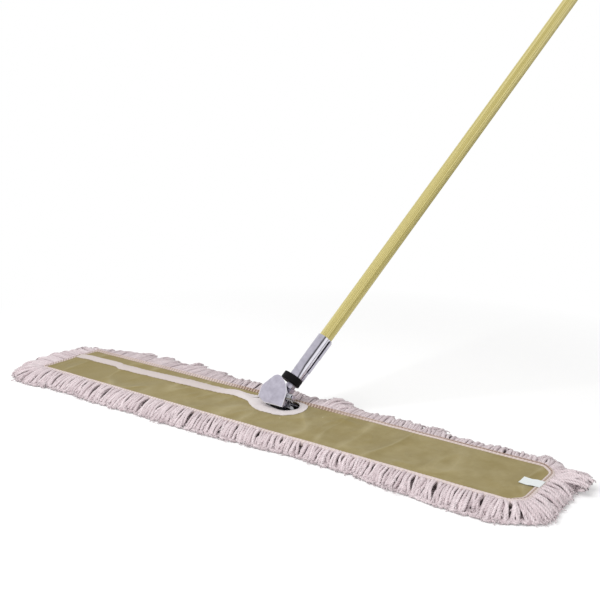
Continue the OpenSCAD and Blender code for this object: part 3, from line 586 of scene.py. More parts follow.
def coverTop(x, y):
    spot = Vector((x, y))
    edge = min(halfLong - abs(x), halfWide - abs(y)) - coverSet["hem"]
    fade = min(1.0, max(0.0, edge / coverSet["fade"]))
    swell = coverSet["swell"] * ripple(x * 11, y * 16, 1.7) + coverSet["ripple"] * ripple(x * 34, y * 38, 5.2)
    for start, end, height, half in creases:
        a, b = Vector(start) * mm, Vector(end) * mm
        share = min(1.0, max(0.0, (spot - a).dot(b - a) / (b - a).length_squared))
        away = (spot - a.lerp(b, share)).length / (half * mm)
        if away < 3:
            crown = math.exp(-away * away) * (0.25 + 0.75 * math.sin(math.pi * share))
            swell += coverSet["crease"] * height * mm * crown
    off = y - slitY(x)
    lip = lipRaise(x, off > 0) * math.exp(-(off / lipSet["reach"]) ** 2)
    along = max(0.0, abs(x - opening["x"]) - opening["run"])
    ring = math.hypot(along, y - opening["y"]) - opening["radius"]
    height = ringSet["rise"] + ringSet["farRise"] * ease(0.0, 0.019, y - opening["y"])
    height = min(height + ringSet["leftRise"] * ease(-0.008, -0.022, x), ringSet["most"])
    lip += height * math.exp(-(max(0.0, ring) / ringSet["reach"]) ** 2) * ease(0.0, 0.004, edge)
    return pocket["top"] + fade * swell + lip + coverSet["lift"]


def layOn(x, y, lift=0.0):  # a point of the cloth, drawn over towards the far lip
    off = y - slitY(x)
    lap = lipLap(x) * max(0.0, 1 + off / lipSet["lapReach"]) if off < 0 else 0.0
    return Vector((x, y + lap, coverTop(x, y) + lift))


def meshPiece(name, verts, faces, uvs=None, tones=None):
    mesh = bpy.data.meshes.new(name)
    mesh.from_pydata([tuple(v) for v in verts], [], faces)
    if uvs:
        layer = mesh.uv_layers.new(name="threadRun")
        flat = [uv for face in uvs for uv in face]
        for loop, uv in zip(layer.data, flat):
            loop.uv = uv
    piece = bpy.data.objects.new(name, mesh)
    scene.collection.objects.link(piece)
    if tones:
        paintTone(piece, tones)
    return piece


def sweepRows(rows, across, wrapAcross=False, wrapAlong=False):  # quads over rows of points, UVs in metres
    n, k = len(rows), len(rows[0])
    run = [0.0]
    for i in range(1, n + 1):
        run.append(run[-1] + (Vector(rows[i % n][0]) - Vector(rows[i - 1][0])).length)
    faces, uvs = [], []
    for i in range(n if wrapAlong else n - 1):
        for j in range(k if wrapAcross else k - 1):
            steps = ((i, j), (i, j + 1), (i + 1, j + 1), (i + 1, j))
            faces.append([a % n * k + b % k for a, b in steps])
            uvs.append([(run[a], across[b]) for a, b in steps])
    return [v for row in rows for v in row], faces, uvs


def cutCover():
    path = keyholePath(-halfLong + coverSet["slitEnd"])
    points = pocketLoop(coverSet["inset"], coverSet["bend"], coverSet["spacing"])[0]
    leftEdge, slit = -halfLong + coverSet["inset"], path[0].y
    first = min(range(len(points)), key=lambda i: abs(points[i].x - leftEdge) * 9 + abs(points[i].y - slit))
    ring = points[first:] + points[:first]
    deep, wide = coverSet["mouth"]
    ring = [p for p in ring if p.x >= leftEdge + deep or abs(p.y - slit) >= wide]
    outline = ring + path
    low, high = min(p.x for p in ring), max(p.x for p in ring)
    rng = random.Random(coverSet["seed"])
    step, jitter = coverSet["grid"], coverSet["jitter"]
    inner = []
    for i in range(1, int((high - low) / step)):
        for j in range(-coverSet["rows"], coverSet["rows"] + 1):
            x = low + i * step + rng.uniform(-1, 1) * jitter
            inner.append(Vector((x, j * step + rng.uniform(-1, 1) * jitter)))
    apart = coverSet["clear"] ** 2
    inner = [p for p in inner if min((p - q).length_squared for q in outline) > apart]
    cut = geometry.delaunay_2d_cdt(outline + inner, [], [list(range(len(outline)))], 1, 1e-7)
    verts, faces = cut[0], cut[2]
    used = sorted({i for face in faces for i in face})
    renumber = {old: new for new, old in enumerate(used)}
    laid = [layOn(verts[i].x, verts[i].y) for i in used]
    cover = meshPiece("canvas_cover", laid, [[renumber[i] for i in face] for face in faces])
    area = sum(face.area for face in cover.data.polygons)
    faceUp(cover)
    addThickness(cover, "cloth_thickness", coverSet["thick"], -1)
    applyAll(cover)
    smoothBelow(50)
    return cover, area


cover, coverArea = cutCover()
finishPiece(cover, "head", khakiCanvas, "khaki_canvas", "pocket_cover")
print("canvas cover cut,", len(cover.data.polygons), "faces, flat area", round(coverArea, 4))

# tape sewn along the slit's lips and round the opening, where its near side is wider and laps into the hole
tapeCut = {"lips": 0.0125, "ring": 0.012, "nearMore": 0.0045, "lap": 0.002, "lapMid": 0.005, "lapLeft": 0.006,
           "thick": 0.0007, "lift": 0.0003, "crown": 0.0003, "pucker": (0.0002, 0.0003), "slitEnd": 0.0066,
           "farEnd": 0.0562, "across": (-0.05, 0.03, 0.25, 0.5, 0.75, 0.96, 1.0)}


def sewTape():
    path = keyholePath(-halfLong + tapeCut["slitEnd"])
    stitched, drawn = tapeCut["pucker"]
    rows = []
    for i, p in enumerate(path):
        way = (path[min(i + 1, len(path) - 1)] - path[max(i - 1, 0)]).normalized()
        out = Vector((-way.y, way.x))  # the cloth lies on this side of the cut
        near = max(0.0, -out.y) * ease(-0.035, -0.015, p.x)
        width = tapeCut["lips"] + (tapeCut["ring"] - tapeCut["lips"]) * ease(-0.07, -0.02, p.x)
        width += tapeCut["nearMore"] * near
        lap = tapeCut["lap"] + tapeCut["lapMid"] * ease(0.03, -0.004, p.x)
        lap = (lap + tapeCut["lapLeft"] * ease(-0.006, -0.02, p.x)) * near ** 0.5
        pucker = stitched * math.sin(i * 2.1) + drawn * ripple(p.x * 60, p.y * 60, 2)
        row = []
        for share in tapeCut["across"]:
            q = p + out * (share * width - lap * (1 - share) ** 2)
            q.y = min(q.y, tapeCut["farEnd"])
            crown = tapeCut["crown"] if 0.1 < share < 0.9 else 0.0
            row.append(layOn(q.x, q.y, tapeCut["lift"] + crown + pucker * (0.4 + share)))
        rows.append(row)
    verts, faces, uvs = sweepRows(rows, [share * tapeCut["lips"] for share in tapeCut["across"]])
    tape = meshPiece("keyhole_tape", verts, faces, uvs)
    faceUp(tape)
    addThickness(tape, "tape_thickness", tapeCut["thick"], 1)
    applyAll(tape)
    smoothBelow(60)
    return tape


tape = finishPiece(sewTape(), "head", twillTape, "twill_tape", "slit_tape", "opening_tape")
print("tape sewn,", len(tape.data.polygons), "faces")

# bound edge: a rolled hem with two thread ridges, tighter on the near edge and fuller on the far one
bindingSet = {"bend": 0.020, "spacing": 0.005, "shake": 0.0003, "crest": 20, "groove": 3.6, "nearWide": -0.3,
              "rightWide": 0.15, "farTall": 1.2, "farFlat": 0.5}
# the hem's section: inward from the pocket's edge, and height, in mm
hem = [(7.0, 20.2), (6.5, 20.9), (5.3, 21.4), (4.2, 21.1), (3.6, 20.7), (3.0, 21.1), (1.7, 21.6), (0.3, 21.1),
       (-0.5, 19.4), (-0.6, 16.0), (-0.3, 12.6), (0.5, 12.4), (0.8, 16.0), (1.0, 19.4), (3.6, 20.0)]


def hemTone(p, n, inward):  # brown on the far edge; both ridges pale at the label's end, with a brown line
    ridged = abs(inward - bindingSet["groove"]) > 0.9
    far = 0.1 + 0.2 * ripple(p.x * 23, p.y * 23, 6) + 0.6 * ease(-0.06, -0.16, p.x)
    far += (0.8 if inward > 4.5 else 0.1) * ease(0.08, 0.2, p.x)
    return facing(-n.y) + far * facing(n.y) + 0.7 * facing(-n.x) + (1.0 if ridged else 0.15) * facing(n.x)


def rollBinding():
    points, normals = pocketLoop(0, bindingSet["bend"], bindingSet["spacing"])
    crest = bindingSet["crest"]
    rows, tones = [], []
    for p, n in zip(points, normals):
        shake = bindingSet["shake"] * ripple(p.x * 40, p.y * 40, 9)
        wide = mm * (1 + bindingSet["nearWide"] * facing(-n.y) + bindingSet["rightWide"] * facing(n.x))
        tall = 1 + (bindingSet["farTall"] - bindingSet["farFlat"] * ease(0.08, 0.3, p.x)) * facing(n.y)
        row = []
        for inward, z in hem:
            q = p - n * (inward * wide)
            row.append(Vector((q.x, q.y, (z if z < crest else crest + (z - crest) * tall) * mm + shake)))
            tones.append(hemTone(p, n, inward))
        rows.append(row)
    across = [0.0]
    for j in range(1, len(hem) + 1):
        across.append(across[-1] + (Vector(hem[j % len(hem)]) - Vector(hem[j - 1])).length * mm)
    verts, faces, uvs = sweepRows(rows, across, True, True)
    binding = meshPiece("edge_binding_braid", verts, faces, uvs, tones)
    makeSound(binding)
    smoothBelow(70)
    return binding


binding = finishPiece(rollBinding(), "head", edgeBraid, "edge_braid", "edge_binding")

# stitches in the groove of the hem; each is a short thread of five sides that dips at its ends
stitchSet = {"spacing": 0.0058, "length": 0.0030, "radius": 0.0006, "inset": 0.0036, "bend": 0.016,
             "z": 0.02105, "farRise": 0.0012, "dip": 0.00035, "sides": 5}


def sewStitches():
    points, normals = pocketLoop(stitchSet["inset"], stitchSet["bend"], stitchSet["spacing"])
    sides, dip = stitchSet["sides"], stitchSet["dip"]
    verts, faces = [], []
    for p, n in zip(points, normals):
        way, side, up = Vector((-n.y, n.x, 0)), Vector((n.x, n.y, 0)), Vector((0, 0, 1))
        middle = Vector((p.x, p.y, stitchSet["z"] + stitchSet["farRise"] * facing(n.y)))
        bulk = stitchSet["radius"] * (1 - 0.35 * facing(-n.y) - 0.4 * facing(n.x))
        length = stitchSet["length"] * (1 + 0.5 * ease(0.08, 0.2, p.x) * facing(n.y))
        base = len(verts)
        for reach, size, drop in ((-0.5, 0.35, dip), (-0.25, 1.0, 0), (0.25, 1.0, 0), (0.5, 0.35, dip)):
            for k in range(sides):
                a = 2 * math.pi * k / sides
                around = (side * math.cos(a) + up * math.sin(a)) * (size * bulk)
                verts.append(middle - up * drop + way * (reach * length) + around)
        for ring in range(3):
            for k in range(sides):
                a, b = base + ring * sides + k, base + ring * sides + (k + 1) % sides
                faces.append((a, b, b + sides, a + sides))
        faces.append([base + k for k in range(sides)])
        faces.append([base + 3 * sides + k for k in range(sides)])
    stitches = meshPiece("binding_stitches", verts, faces)
    makeSound(stitches)
    bpy.ops.object.shade_smooth()
    return stitches


stitches = finishPiece(sewStitches(), "head", stitchThread, "edge_braid")
print("edge bound and stitched")

# blank label sewn on the binding at the right end
labelSet = {"x": (0.4240, 0.4515), "y": (-0.0100, 0.0095), "thick": 0.0005, "lift": 0.0002, "curl": 0.0010,
            "climb": (0.434, 0.4425), "overBinding": 0.02175}


def sewLabel():
    (x0, x1), (y0, y1) = labelSet["x"], labelSet["y"]
    label = addGrid("blank_label", 10, 8)
    for v in label.data.vertices:
        u, w = v.co.x + 0.5, v.co.y + 0.5
        x, y = x0 + (x1 - x0) * u, y0 + (y1 - y0) * w
        curl = labelSet["curl"] * ((1 - u) ** 2 + 0.5 * (1 - u) * (w - 0.4) ** 2)
        rest = coverTop(x, y) + labelSet["lift"]
        v.co = (x, y, rest + (labelSet["overBinding"] - rest) * ease(*labelSet["climb"], x) + curl)
    addThickness(label, "label_thickness", labelSet["thick"], 1)
    applyAll(label)
    smoothBelow(40)
    return label


label = finishPiece(sewLabel(), "head", labelSatin, "label_satin", "care_label")

# lower canvas, and the yarn sole with its rows of tufts
baseSet = {"inset": 0.0012, "z": 0.0118, "ripple": 0.0002, "thick": 0.0008}
soleSet = {"inset": 0.003, "bottom": 0.003, "bulge": 0.0016, "side": 0.0035, "top": 0.0040, "row": 0.0085,
           "tuftFoot": 0.0022, "depth": 0.0016, "tone": 0.35}


def clipCorners(piece, inset, fill=False):
    pickOnly(piece)
    bpy.ops.object.mode_set(mode="EDIT")
    for sx, cut in ((-1, pocket["leftCut"]), (1, pocket["rightCut"])):
        for sy in (-1, 1):
            bpy.ops.mesh.select_all(action="SELECT")
            corner = Vector((sx * (pocket["length"] - cut) / 2, sy * (pocket["width"] - cut) / 2, 0))
            way = Vector((sx, sy, 0)).normalized()
            bpy.ops.mesh.bisect(plane_co=corner - way * inset, plane_no=way, clear_outer=True, use_fill=fill)
    bpy.ops.object.mode_set(mode="OBJECT")


def cutBase():
    base = addGrid("base_canvas_sheet", 120, 18)
    for v in base.data.vertices:
        x, y = v.co.x * 2 * (halfLong - baseSet["inset"]), v.co.y * 2 * (halfWide - baseSet["inset"])
        v.co = (x, y, baseSet["z"] + baseSet["ripple"] * ripple(x * 30, y * 30, 4))
    clipCorners(base, baseSet["inset"])
    area = sum(face.area for face in base.data.polygons)
    addThickness(base, "cloth_thickness", baseSet["thick"], 0)
    applyAll(base)
    return base, area


def padSole():
    inset, bottom, row = soleSet["inset"], soleSet["bottom"], soleSet["row"]
    sole = addGrid("yarn_sole", 200, 60)
    for v in sole.data.vertices:
        v.co = (v.co.x * (pocket["length"] - 2 * inset), v.co.y * (pocket["width"] - 2 * inset), bottom)
    bpy.ops.object.mode_set(mode="EDIT")
    bpy.ops.mesh.select_all(action="SELECT")
    for rise in (soleSet["side"], soleSet["top"]):
        bpy.ops.mesh.extrude_region_move(TRANSFORM_OT_translate={"value": (0, 0, rise)})
    bpy.ops.object.mode_set(mode="OBJECT")
    clipCorners(sole, inset, True)
    for v in sole.data.vertices:
        level = v.co.z - bottom
        if level < soleSet["side"] / 2:
            crown = 0.5 + 0.5 * math.cos(2 * math.pi * v.co.y / row)
            tuft = 0.6 + 0.4 * ripple(v.co.x * 130, round(v.co.y / row) * 3.7)
            v.co.z = soleSet["tuftFoot"] - soleSet["depth"] * crown * tuft
        elif level < soleSet["side"] + soleSet["top"] / 2:  # the side swells out half way up
            if abs(v.co.x) > halfLong - 2 * inset:
                v.co.x += math.copysign(soleSet["bulge"], v.co.x)
            if abs(v.co.y) > halfWide - 2 * inset:
                v.co.y += math.copysign(soleSet["bulge"], v.co.y)
    makeSound(sole)
    smoothBelow(60)
    # painted shade: the sole's yarn takes a dark tone, for the shade under the fringe
    paintTone(sole, [soleSet["tone"]] * len(sole.data.vertices))
    return sole


baseSheet, baseArea = cutBase()
finishPiece(baseSheet, "head", backingCanvas, "base_canvas", "base_cloth")
sole = finishPiece(padSole(), "head", cottonYarn, "cotton_yarn", "yarn_pad")
print("base and sole made,", len(sole.data.polygons), "faces in the sole")

# fringe: cut loops of yarn round the pocket, a top layer over a filling one and a bed under both
fringeSet = {"seed": 11, "radius": 0.0024, "sides": 5, "rings": 11, "bend": 0.012, "step": 0.002,
             "smooth": 0.018, "root": -0.0025, "shift": 0.0008, "fan": 0.75}
# neighbours lean together and leave dark gaps, widest at the partings; then the yarns swing and shake
lieSet = {"bare": 0.0024, "gap": 0.0017, "gapMore": 0.0014, "gapReach": 0.006, "lean": 0.0030,
          "swing": 0.0026, "bundle": 0.006, "shake": 0.0012, "rise": (-0.0002, 0.0012),
          "heldRise": 0.0008, "sag": 0.0022}
# spacing along the edge, root heights, shares of the reach and tones; the lower layers' darker tones are
# painted shade under the top yarns
layers = {"top": (0.0049, (0.0176, 0.0188), (0.70, 1.0), (0.62, 1.0)),
          "fill": (0.0047, (0.0150, 0.0163), (0.84, 0.99), (0.62, 0.9)),
          "bed": (0.0042, (0.0040, 0.0105), (0.68, 0.98), (0.4, 0.75))}
# steps in mm between the partings that show the dark under the yarns
partings = {"front": (17, 42), "right": (9, 19), "rear": (30, 70), "left": (18, 34)}
# reach of the yarns in mm, by their place along each side
reaches = {
    "front": [(-452, 50), (-430, 43), (-410, 37), (-390, 35), (-150, 34), (-50, 31), (0, 27), (52, 22),
              (91, 17), (128, 14), (164, 17), (223, 17), (272, 23), (318, 27), (361, 29), (385, 31),
              (392, 14), (400, 14), (409, 30), (424, 27), (436, 19), (452, 27)],
    "rear": [(-452, 36), (-430, 44), (-400, 56), (-180, 62), (-150, 50), (-130, 45), (-100, 53), (0, 55),
             (60, 48), (110, 46), (220, 46), (232, 40), (250, 46), (270, 34), (340, 31), (372, 34), (440, 40),
             (452, 36)],
    "left": [(-63, 60), (-40, 70), (-20, 73), (0, 68), (40, 60), (63, 54)],
    "right": [(-63, 27), (-40, 31), (10, 29), (35, 27), (49, 30), (63, 32)]}
# tufts that stand out of each side: root in mm, way in degrees, reach, lift and count
tufts = {
    "right": [((452, 46), 29, 45, 24, 10), ((452, 36), 22, 44, 20, 8)],
    "left": [((-452, 54), 150, 46, 20, 6)],
    "rear": [((-430, 63), 96, 40, 15, 5), ((56, 63), 100, 50, 21, 7), ((76, 63), 84, 58, 26, 8),
             ((88, 63), 66, 50, 24, 6), ((250, 63), 86, 52, 19, 8), ((416, 63), 84, 46, 17, 7),
             ((-242, 63), 84, 66, 20, 8), ((-300, 63), 96, 64, 20, 8), ((-360, 63), 88, 62, 20, 7)]}
tuftSet = {"root": 0.016, "rise": 0.017, "turn": 7, "spread": 0.011, "bow": 0.014, "back": 0.002}
curlSet = {"count": 2200, "radius": 0.0009, "sides": 3, "joints": 5, "step": (0.0018, 0.0030), "low": 0.0012}
rng = random.Random(fringeSet["seed"])


def sideOf(normal):
    if abs(normal.x) > abs(normal.y):
        return "right" if normal.x > 0 else "left"
    return "rear" if normal.y > 0 else "front"


def valueAt(table, place):
    for (x0, v0), (x1, v1) in zip(table, table[1:]):
        if place <= x1:
            return v0 + (v1 - v0) * max(0.0, (place - x0) / (x1 - x0))
    return table[-1][1]


def smoothLine(marks, count):  # Catmull-Rom through the marks
    line = []
    last = len(marks) - 1
    for i in range(count):
        t = i / (count - 1) * last
        k = min(int(t), last - 1)
        f = t - k
        p0, p1, p2, p3 = marks[max(k - 1, 0)], marks[k], marks[k + 1], marks[min(k + 2, last)]
        line.append(0.5 * (2 * p1 + (p2 - p0) * f + (2 * p0 - 5 * p1 + 4 * p2 - p3) * f * f
                           + (3 * p1 - p0 - 3 * p2 + p3) * f ** 3))
    return line


def yarnRings(points, radius, sides):  # rings of points round a smooth line
    rings = []
    last = len(points) - 1
    turns = [2 * math.pi * k / sides for k in range(sides)]
    for i, p in enumerate(points):
        way = (points[min(i + 1, last)] - points[max(i - 1, 0)]).normalized()
        side = way.cross(Vector((0, 0, 1)))
        side = side.normalized() if side.length > 1e-4 else Vector((1, 0, 0))
        rise = side.cross(way)
        size = radius * (0.8 if i == 0 else 0.6 if i == last else 1.0)
        rings.append([p + (side * math.cos(a) + rise * math.sin(a)) * size for a in turns])
    return rings


# the line that the yarns are sewn to, its length so far at each point, and normals that are eased round the
# corners, so that the yarns fan out evenly
points, edgeNormals = pocketLoop(0, fringeSet["bend"], fringeSet["step"])
count = len(points)
run = [0.0]
for i in range(count):
    run.append(run[-1] + (points[(i + 1) % count] - points[i]).length)
total = run[-1]
span = round(fringeSet["smooth"] / fringeSet["step"])
normals = [sum((edgeNormals[(i + k) % count] for k in range(-span, span + 1)), Vector((0, 0))).normalized()
           for i in range(count)]
fans = [max(0.0, -normals[i - 1].angle_signed(normals[(i + 1) % count]))
        / max(0.001, (points[(i + 1) % count] - points[i - 1]).length) for i in range(count)]
heaps = {name: [] for name in reaches}


def indexAt(s):
    s %= total
    return min(range(count), key=lambda k: abs(run[k] - s))


def spreadAt(i):
    p, n = points[i] / mm, normals[i]
    return mm * (valueAt(reaches["front"], p.x) * facing(-n.y) + valueAt(reaches["right"], p.y) * facing(n.x)
                 + valueAt(reaches["rear"], p.x) * facing(n.y) + valueAt(reaches["left"], p.y) * facing(-n.x))


gaps = [0.0]
while gaps[-1] < total:
    gaps.append(gaps[-1] + rng.uniform(*partings[sideOf(normals[indexAt(gaps[-1])])]) * mm)


def layYarn(s, layer, roots, shares, tones):
    i = indexAt(s)
    p, n = points[i], normals[i]
    way = Vector((-n.y, n.x))
    off = s - min(gaps, key=lambda gap: abs(gap - s))
    if layer == "fill" and abs(off) < lieSet["bare"]:
        return
    wide = lieSet["gap"] + lieSet["gapMore"] * (ease(0.05, -0.25, p.x) * max(0.0, -n.y) + max(0.0, n.x))
    drawn = math.copysign(wide, off) * math.exp(-(off / lieSet["gapReach"]) ** 2)
    drawn += lieSet["lean"] * ripple(s * 85, 2.5)
    radius = fringeSet["radius"] * rng.uniform(0.88, 1.14)
    reach = spreadAt(i) * (rng.uniform(*shares) + 0.08 * ripple(s * 26, 4.5))
    swing = rng.gauss(0, lieSet["swing"]) + lieSet["bundle"] * ripple(s * 14, 0.5)
    # the far yarns are swept sideways, most of all left of the clip
    swept = 0.1 + 0.5 * ripple(s * 7, 8.5) + 0.25 * ease(-0.24, -0.18, p.x) * ease(0.02, -0.04, p.x)
    swing += reach * swept * facing(n.y)
    held = facing(n.y) + facing(-n.x) + 0.35 * facing(n.x)  # far and left yarns lie on others
    held *= 1 - 0.5 * ease(-0.36, -0.43, p.x) * max(0.0, n.y)
    rootZ = rng.uniform(*roots)
    turn = rng.choice((-1, 1)) * radius * rng.uniform(1.6, 2.6)
    if layer == "bed":
        held *= 0.35
        swing *= 1.5
    top = rootZ + rng.uniform(*lieSet["rise"]) + lieSet["heldRise"] * held
    heights = [(0, rootZ), (0.18, top), (0.42, top - lieSet["sag"] * (1 - held)),
               (0.68, top * (0.68 + 0.28 * held)), (0.90, top * (0.36 + 0.34 * held)),
               (1.0, max(radius * 1.1, top * (0.18 + 0.26 * held)))]
    marks = []
    for t, z in heights:
        out = fringeSet["root"] + (reach - fringeSet["root"]) * t
        shake = rng.uniform(-1, 1) * lieSet["shake"] * ease(0.2, 0.6, t)
        aside = drawn * math.sin(math.pi * t ** 0.95) ** 1.4 + swing * t ** 1.5 + shake
        marks.append((p + n * out + way * aside).to_3d() + Vector((0, 0, max(z, radius * 1.05))))
    tip = marks[-1].z
    for share, low in ((0.97, 0.75), (0.72, 0.6)):  # the loop turns back under itself
        q = p + n * (reach * share) + way * (swing + turn)
        marks.append(Vector((q.x, q.y, max(radius * 1.02, tip * low))))
    line = smoothLine(marks, fringeSet["rings"])
    heaps[sideOf(n)].append((line, radius, rng.uniform(*tones), fringeSet["sides"]))


def standTuft(side, rootPlace, angle, reach, lift, yarns):
    root = Vector(rootPlace) * mm
    foot = tuftSet["root"]
    for k in range(yarns):
        a = math.radians(angle + rng.gauss(0, tuftSet["turn"]))
        way = Vector((math.cos(a), math.sin(a)))
        across = Vector((-way.y, way.x))
        far = reach * mm * rng.uniform(0.85, 1.05)
        begin = root + across * rng.uniform(-tuftSet["spread"], tuftSet["spread"])
        peak = lift * mm * rng.uniform(0.75, 1.0)
        radius = fringeSet["radius"] * rng.uniform(0.85, 1.05)
        bow = rng.uniform(-0.5, 0.5) * tuftSet["bow"]
        marks = []
        for t, z in ((0, foot), (0.2, tuftSet["rise"] + 0.3 * (peak - foot)), (0.5, peak), (0.8, peak * 0.9),
                     (1.0, peak * 0.72), (0.96, peak * 0.5), (0.78, peak * 0.42)):
            q = begin.lerp(root, t * 0.6) + way * (far * t - tuftSet["back"])
            q += across * bow * math.sin(math.pi * t)
            marks.append(Vector((q.x, q.y, max(z, radius))))
        line = smoothLine(marks, fringeSet["rings"])
        heaps[side].append((line, radius, rng.uniform(0.8, 1.0), fringeSet["sides"]))


def looseCurl(heap):  # a fibre that curls out of the lower half of a yarn
    line, radius, tone = rng.choice(heap)[:3]
    start = rng.randint(4, 8)
    go = (line[start + 1] - line[start]).normalized()
    q = line[start] + Vector((0, 0, radius * 0.7))
    turn, lift = rng.uniform(-0.7, 0.7), rng.uniform(-0.1, 0.35)
    curl = [q]
    for joint in range(curlSet["joints"]):
        go.rotate(Matrix.Rotation(turn, 3, "Z"))
        q = q + (go + Vector((0, 0, lift * (1 - joint / 2)))) * rng.uniform(*curlSet["step"])
        curl.append(Vector((q.x, q.y, max(q.z, curlSet["low"]))))
    return curl, curlSet["radius"], min(1.0, tone + 0.1), curlSet["sides"]


def bindFringe(name, heap):
    verts, faces, uvs, tones = [], [], [], []
    for line, radius, tone, sides in heap:
        rings = yarnRings(line, radius, sides)
        v, f, uv = sweepRows(rings, [k / sides for k in range(sides + 1)], True)
        base = len(verts)
        verts += v
        faces += [[i + base for i in face] for face in f]
        uvs += uv
        for first in (base, base + len(v) - sides):  # the cut ends
            faces.append([first + k for k in range(sides)])
            uvs.append([(0, 0)] * sides)
        for i in range(len(rings)):  # a little darker at the root, where less light gets in
            tones += [tone * (0.85 + 0.15 * min(1, i / 3))] * sides
    piece = meshPiece("fringe_yarn_" + name, verts, faces, uvs, tones)
    makeSound(piece, 0.0000001)
    bpy.ops.object.shade_smooth()
    print("fringe", name, len(heap), "yarns,", len(faces), "faces")
    return finishPiece(piece, "head", cottonYarn, "cotton_yarn", "fringe_" + name)


for layer, (spacing, *lie) in layers.items():
    s = 0.0 if layer == "top" else spacing / 2
    while s < total:
        layYarn(s + rng.uniform(-fringeSet["shift"], fringeSet["shift"]), layer, *lie)
        i = indexAt(s)
        s += spacing * rng.uniform(0.9, 1.1) / (1 + fringeSet["fan"] * spreadAt(i) * fans[i])
for side, standing in tufts.items():
    for tuft in standing:
        standTuft(side, *tuft)
yarns = sum(len(heap) for heap in heaps.values())
for heap in heaps.values():
    heap += [looseCurl(heap) for k in range(round(curlSet["count"] * len(heap) / yarns))]
fringes = [bindFringe(name, heap) for name, heap in heaps.items()]

# sprung clip: domed jaw and coiled spring, placed from the bar that the clip sits on
clip = {"bar": (0.018, 0.027, 0.0235), "lean": 42.0, "jawPin": (-0.012, 0.012)}
onBar = Matrix.Translation(Vector(clip["bar"])) @ Matrix.Rotation(math.radians(-clip["lean"]), 4, "X")
jawSet = {"x": -0.0065, "fore": 0.0153, "low": 0.0072, "splay": 11.0, "width": 0.050, "height": 0.047,
          "topRadius": 0.012, "shoulder": 0.0249, "soft": 0.004, "footIn": 0.0008, "cut": (0.015, 0.007),
          "bulge": 0.0030, "dome": 0.0026, "proud": 0.0012, "thick": 0.0008, "rolled": 0.0002,
          "rimHighlight": 0.85, "broken": 0.00025}


def domePlate():
    w, h, r, shoulder = jawSet["width"] / 2, jawSet["height"], jawSet["topRadius"], jawSet["shoulder"]
    soft, (cutWide, cutTall) = jawSet["soft"], jawSet["cut"]
    centre = Vector((0, h - r))
    toShoulder = Vector((w, shoulder)) - centre
    angle = math.atan2(toShoulder.y, toShoulder.x) + math.acos(r / toShoulder.length)
    touch = centre + r * Vector((math.cos(angle), math.sin(angle)))
    slope = (touch.x - w) / (touch.y - shoulder)

    def sideAt(z):  # half the plate's width at a height
        if z <= shoulder - soft:
            return w - jawSet["footIn"] * max(0, 1 - z / soft) ** 2
        if z < shoulder + soft:  # the shoulder's corner is eased
            return w + slope * soft * ((z - shoulder + soft) / (2 * soft)) ** 2
        if z < touch.y:
            return w + slope * (z - shoulder)
        return math.sqrt(max(r * r - (z - centre.y) ** 2, 1e-9))

    plate = addGrid("domed_jaw", 28, 40)
    onPlate = onBar @ Matrix.Translation((jawSet["x"], -jawSet["fore"], -jawSet["low"])) \
        @ Matrix.Rotation(math.radians(jawSet["splay"]), 4, "X")
    rim = []
    for v in plate.data.vertices:
        u, t = v.co.x * 2, v.co.y + 0.5
        z = h * (1 - (1 - t) ** 1.35) * 0.9985  # rows lie closer at the top, just short of its point
        above = min(1, max(0, (z - shoulder) / (h - shoulder)))
        right = sideAt(z) + jawSet["bulge"] * math.sin(math.pi * above) ** 1.5
        left = -sideAt(z) + cutWide * max(0.0, 1 - z / cutTall)
        crown = (1 - abs(u) ** 2.6) * (1 - abs(2 * t - 1) ** 3)
        v.co = onPlate @ Vector((left + (right - left) * (u + 1) / 2,
                                 -jawSet["proud"] - jawSet["dome"] * crown, z))
        # the plate's rim is marked for a painted highlight
        rim.append(jawSet["rimHighlight"] if max(abs(u), abs(2 * t - 1)) > 0.97 else 0.0)
    paintTone(plate, rim)
    addThickness(plate, "sheet_thickness", jawSet["thick"], 0)
    addBevel(plate, "rolled_edge", jawSet["rolled"])
    applyAll(plate)
    makeSound(plate)
    return plate


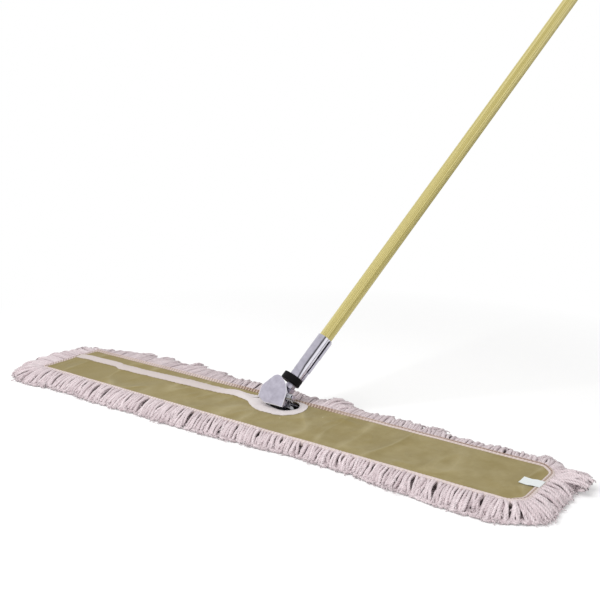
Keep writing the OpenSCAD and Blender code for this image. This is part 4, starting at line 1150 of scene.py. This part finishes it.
def domeJaw():
    jaw = domePlate()
    flanges = nodes["front_jaw"].copy()  # flanges, lugs and back plate, with their edges broken
    flanges.data = nodes["front_jaw"].data.copy()
    flanges.parent = None
    scene.collection.objects.link(flanges)
    for key in list(flanges.keys()):
        del flanges[key]
    pickOnly(flanges)
    bpy.ops.object.mode_set(mode="EDIT")
    bpy.ops.mesh.select_all(action="SELECT")
    bpy.ops.mesh.remove_doubles(threshold=0.00001)
    bpy.ops.mesh.dissolve_limited(angle_limit=math.radians(2))
    bpy.ops.object.mode_set(mode="OBJECT")
    addBevel(flanges, "broken_edge", jawSet["broken"], 40)
    applyAll(flanges)
    pickOnly(jaw)
    flanges.select_set(True)
    bpy.ops.object.join()
    smoothBelow(35)
    return jaw


jaw = finishPiece(domeJaw(), "jaw", zincPlate, "plated_steel", "front_jaw")

springSet = {"radius": 0.0045, "pitch": 0.0023, "wire": 0.0015, "turns": 3.75, "steps": 90, "start": 0.0165,
             "leg": 0.006}


def coilSpring():
    y, z = clip["jawPin"]
    path = []
    for i in range(springSet["steps"] + 1):
        turn = springSet["turns"] * i / springSet["steps"]
        a = 2 * math.pi * turn
        path.append(Vector((springSet["start"] + springSet["pitch"] * turn,
                            y + springSet["radius"] * math.cos(a), z + springSet["radius"] * math.sin(a))))
    path.insert(0, path[0] - (path[1] - path[0]).normalized() * springSet["leg"])
    path.append(path[-1] + (path[-1] - path[-2]).normalized() * springSet["leg"])
    curve = bpy.data.curves.new("coil_spring", "CURVE")
    curve.dimensions = "3D"
    curve.bevel_depth = springSet["wire"] / 2
    curve.bevel_resolution = 3
    curve.use_fill_caps = True
    spline = curve.splines.new("POLY")
    spline.points.add(len(path) - 1)
    for point, p in zip(spline.points, path):
        point.co = (*(onBar @ p), 1)
    spring = bpy.data.objects.new("coil_spring", curve)
    scene.collection.objects.link(spring)
    pickOnly(spring)
    bpy.ops.object.convert(target="MESH")
    spring = bpy.context.object
    bpy.ops.object.shade_smooth()
    return spring


spring = finishPiece(coilSpring(), "clip", springWire, "spring_steel", "jaw_spring")
print("clip dressed")
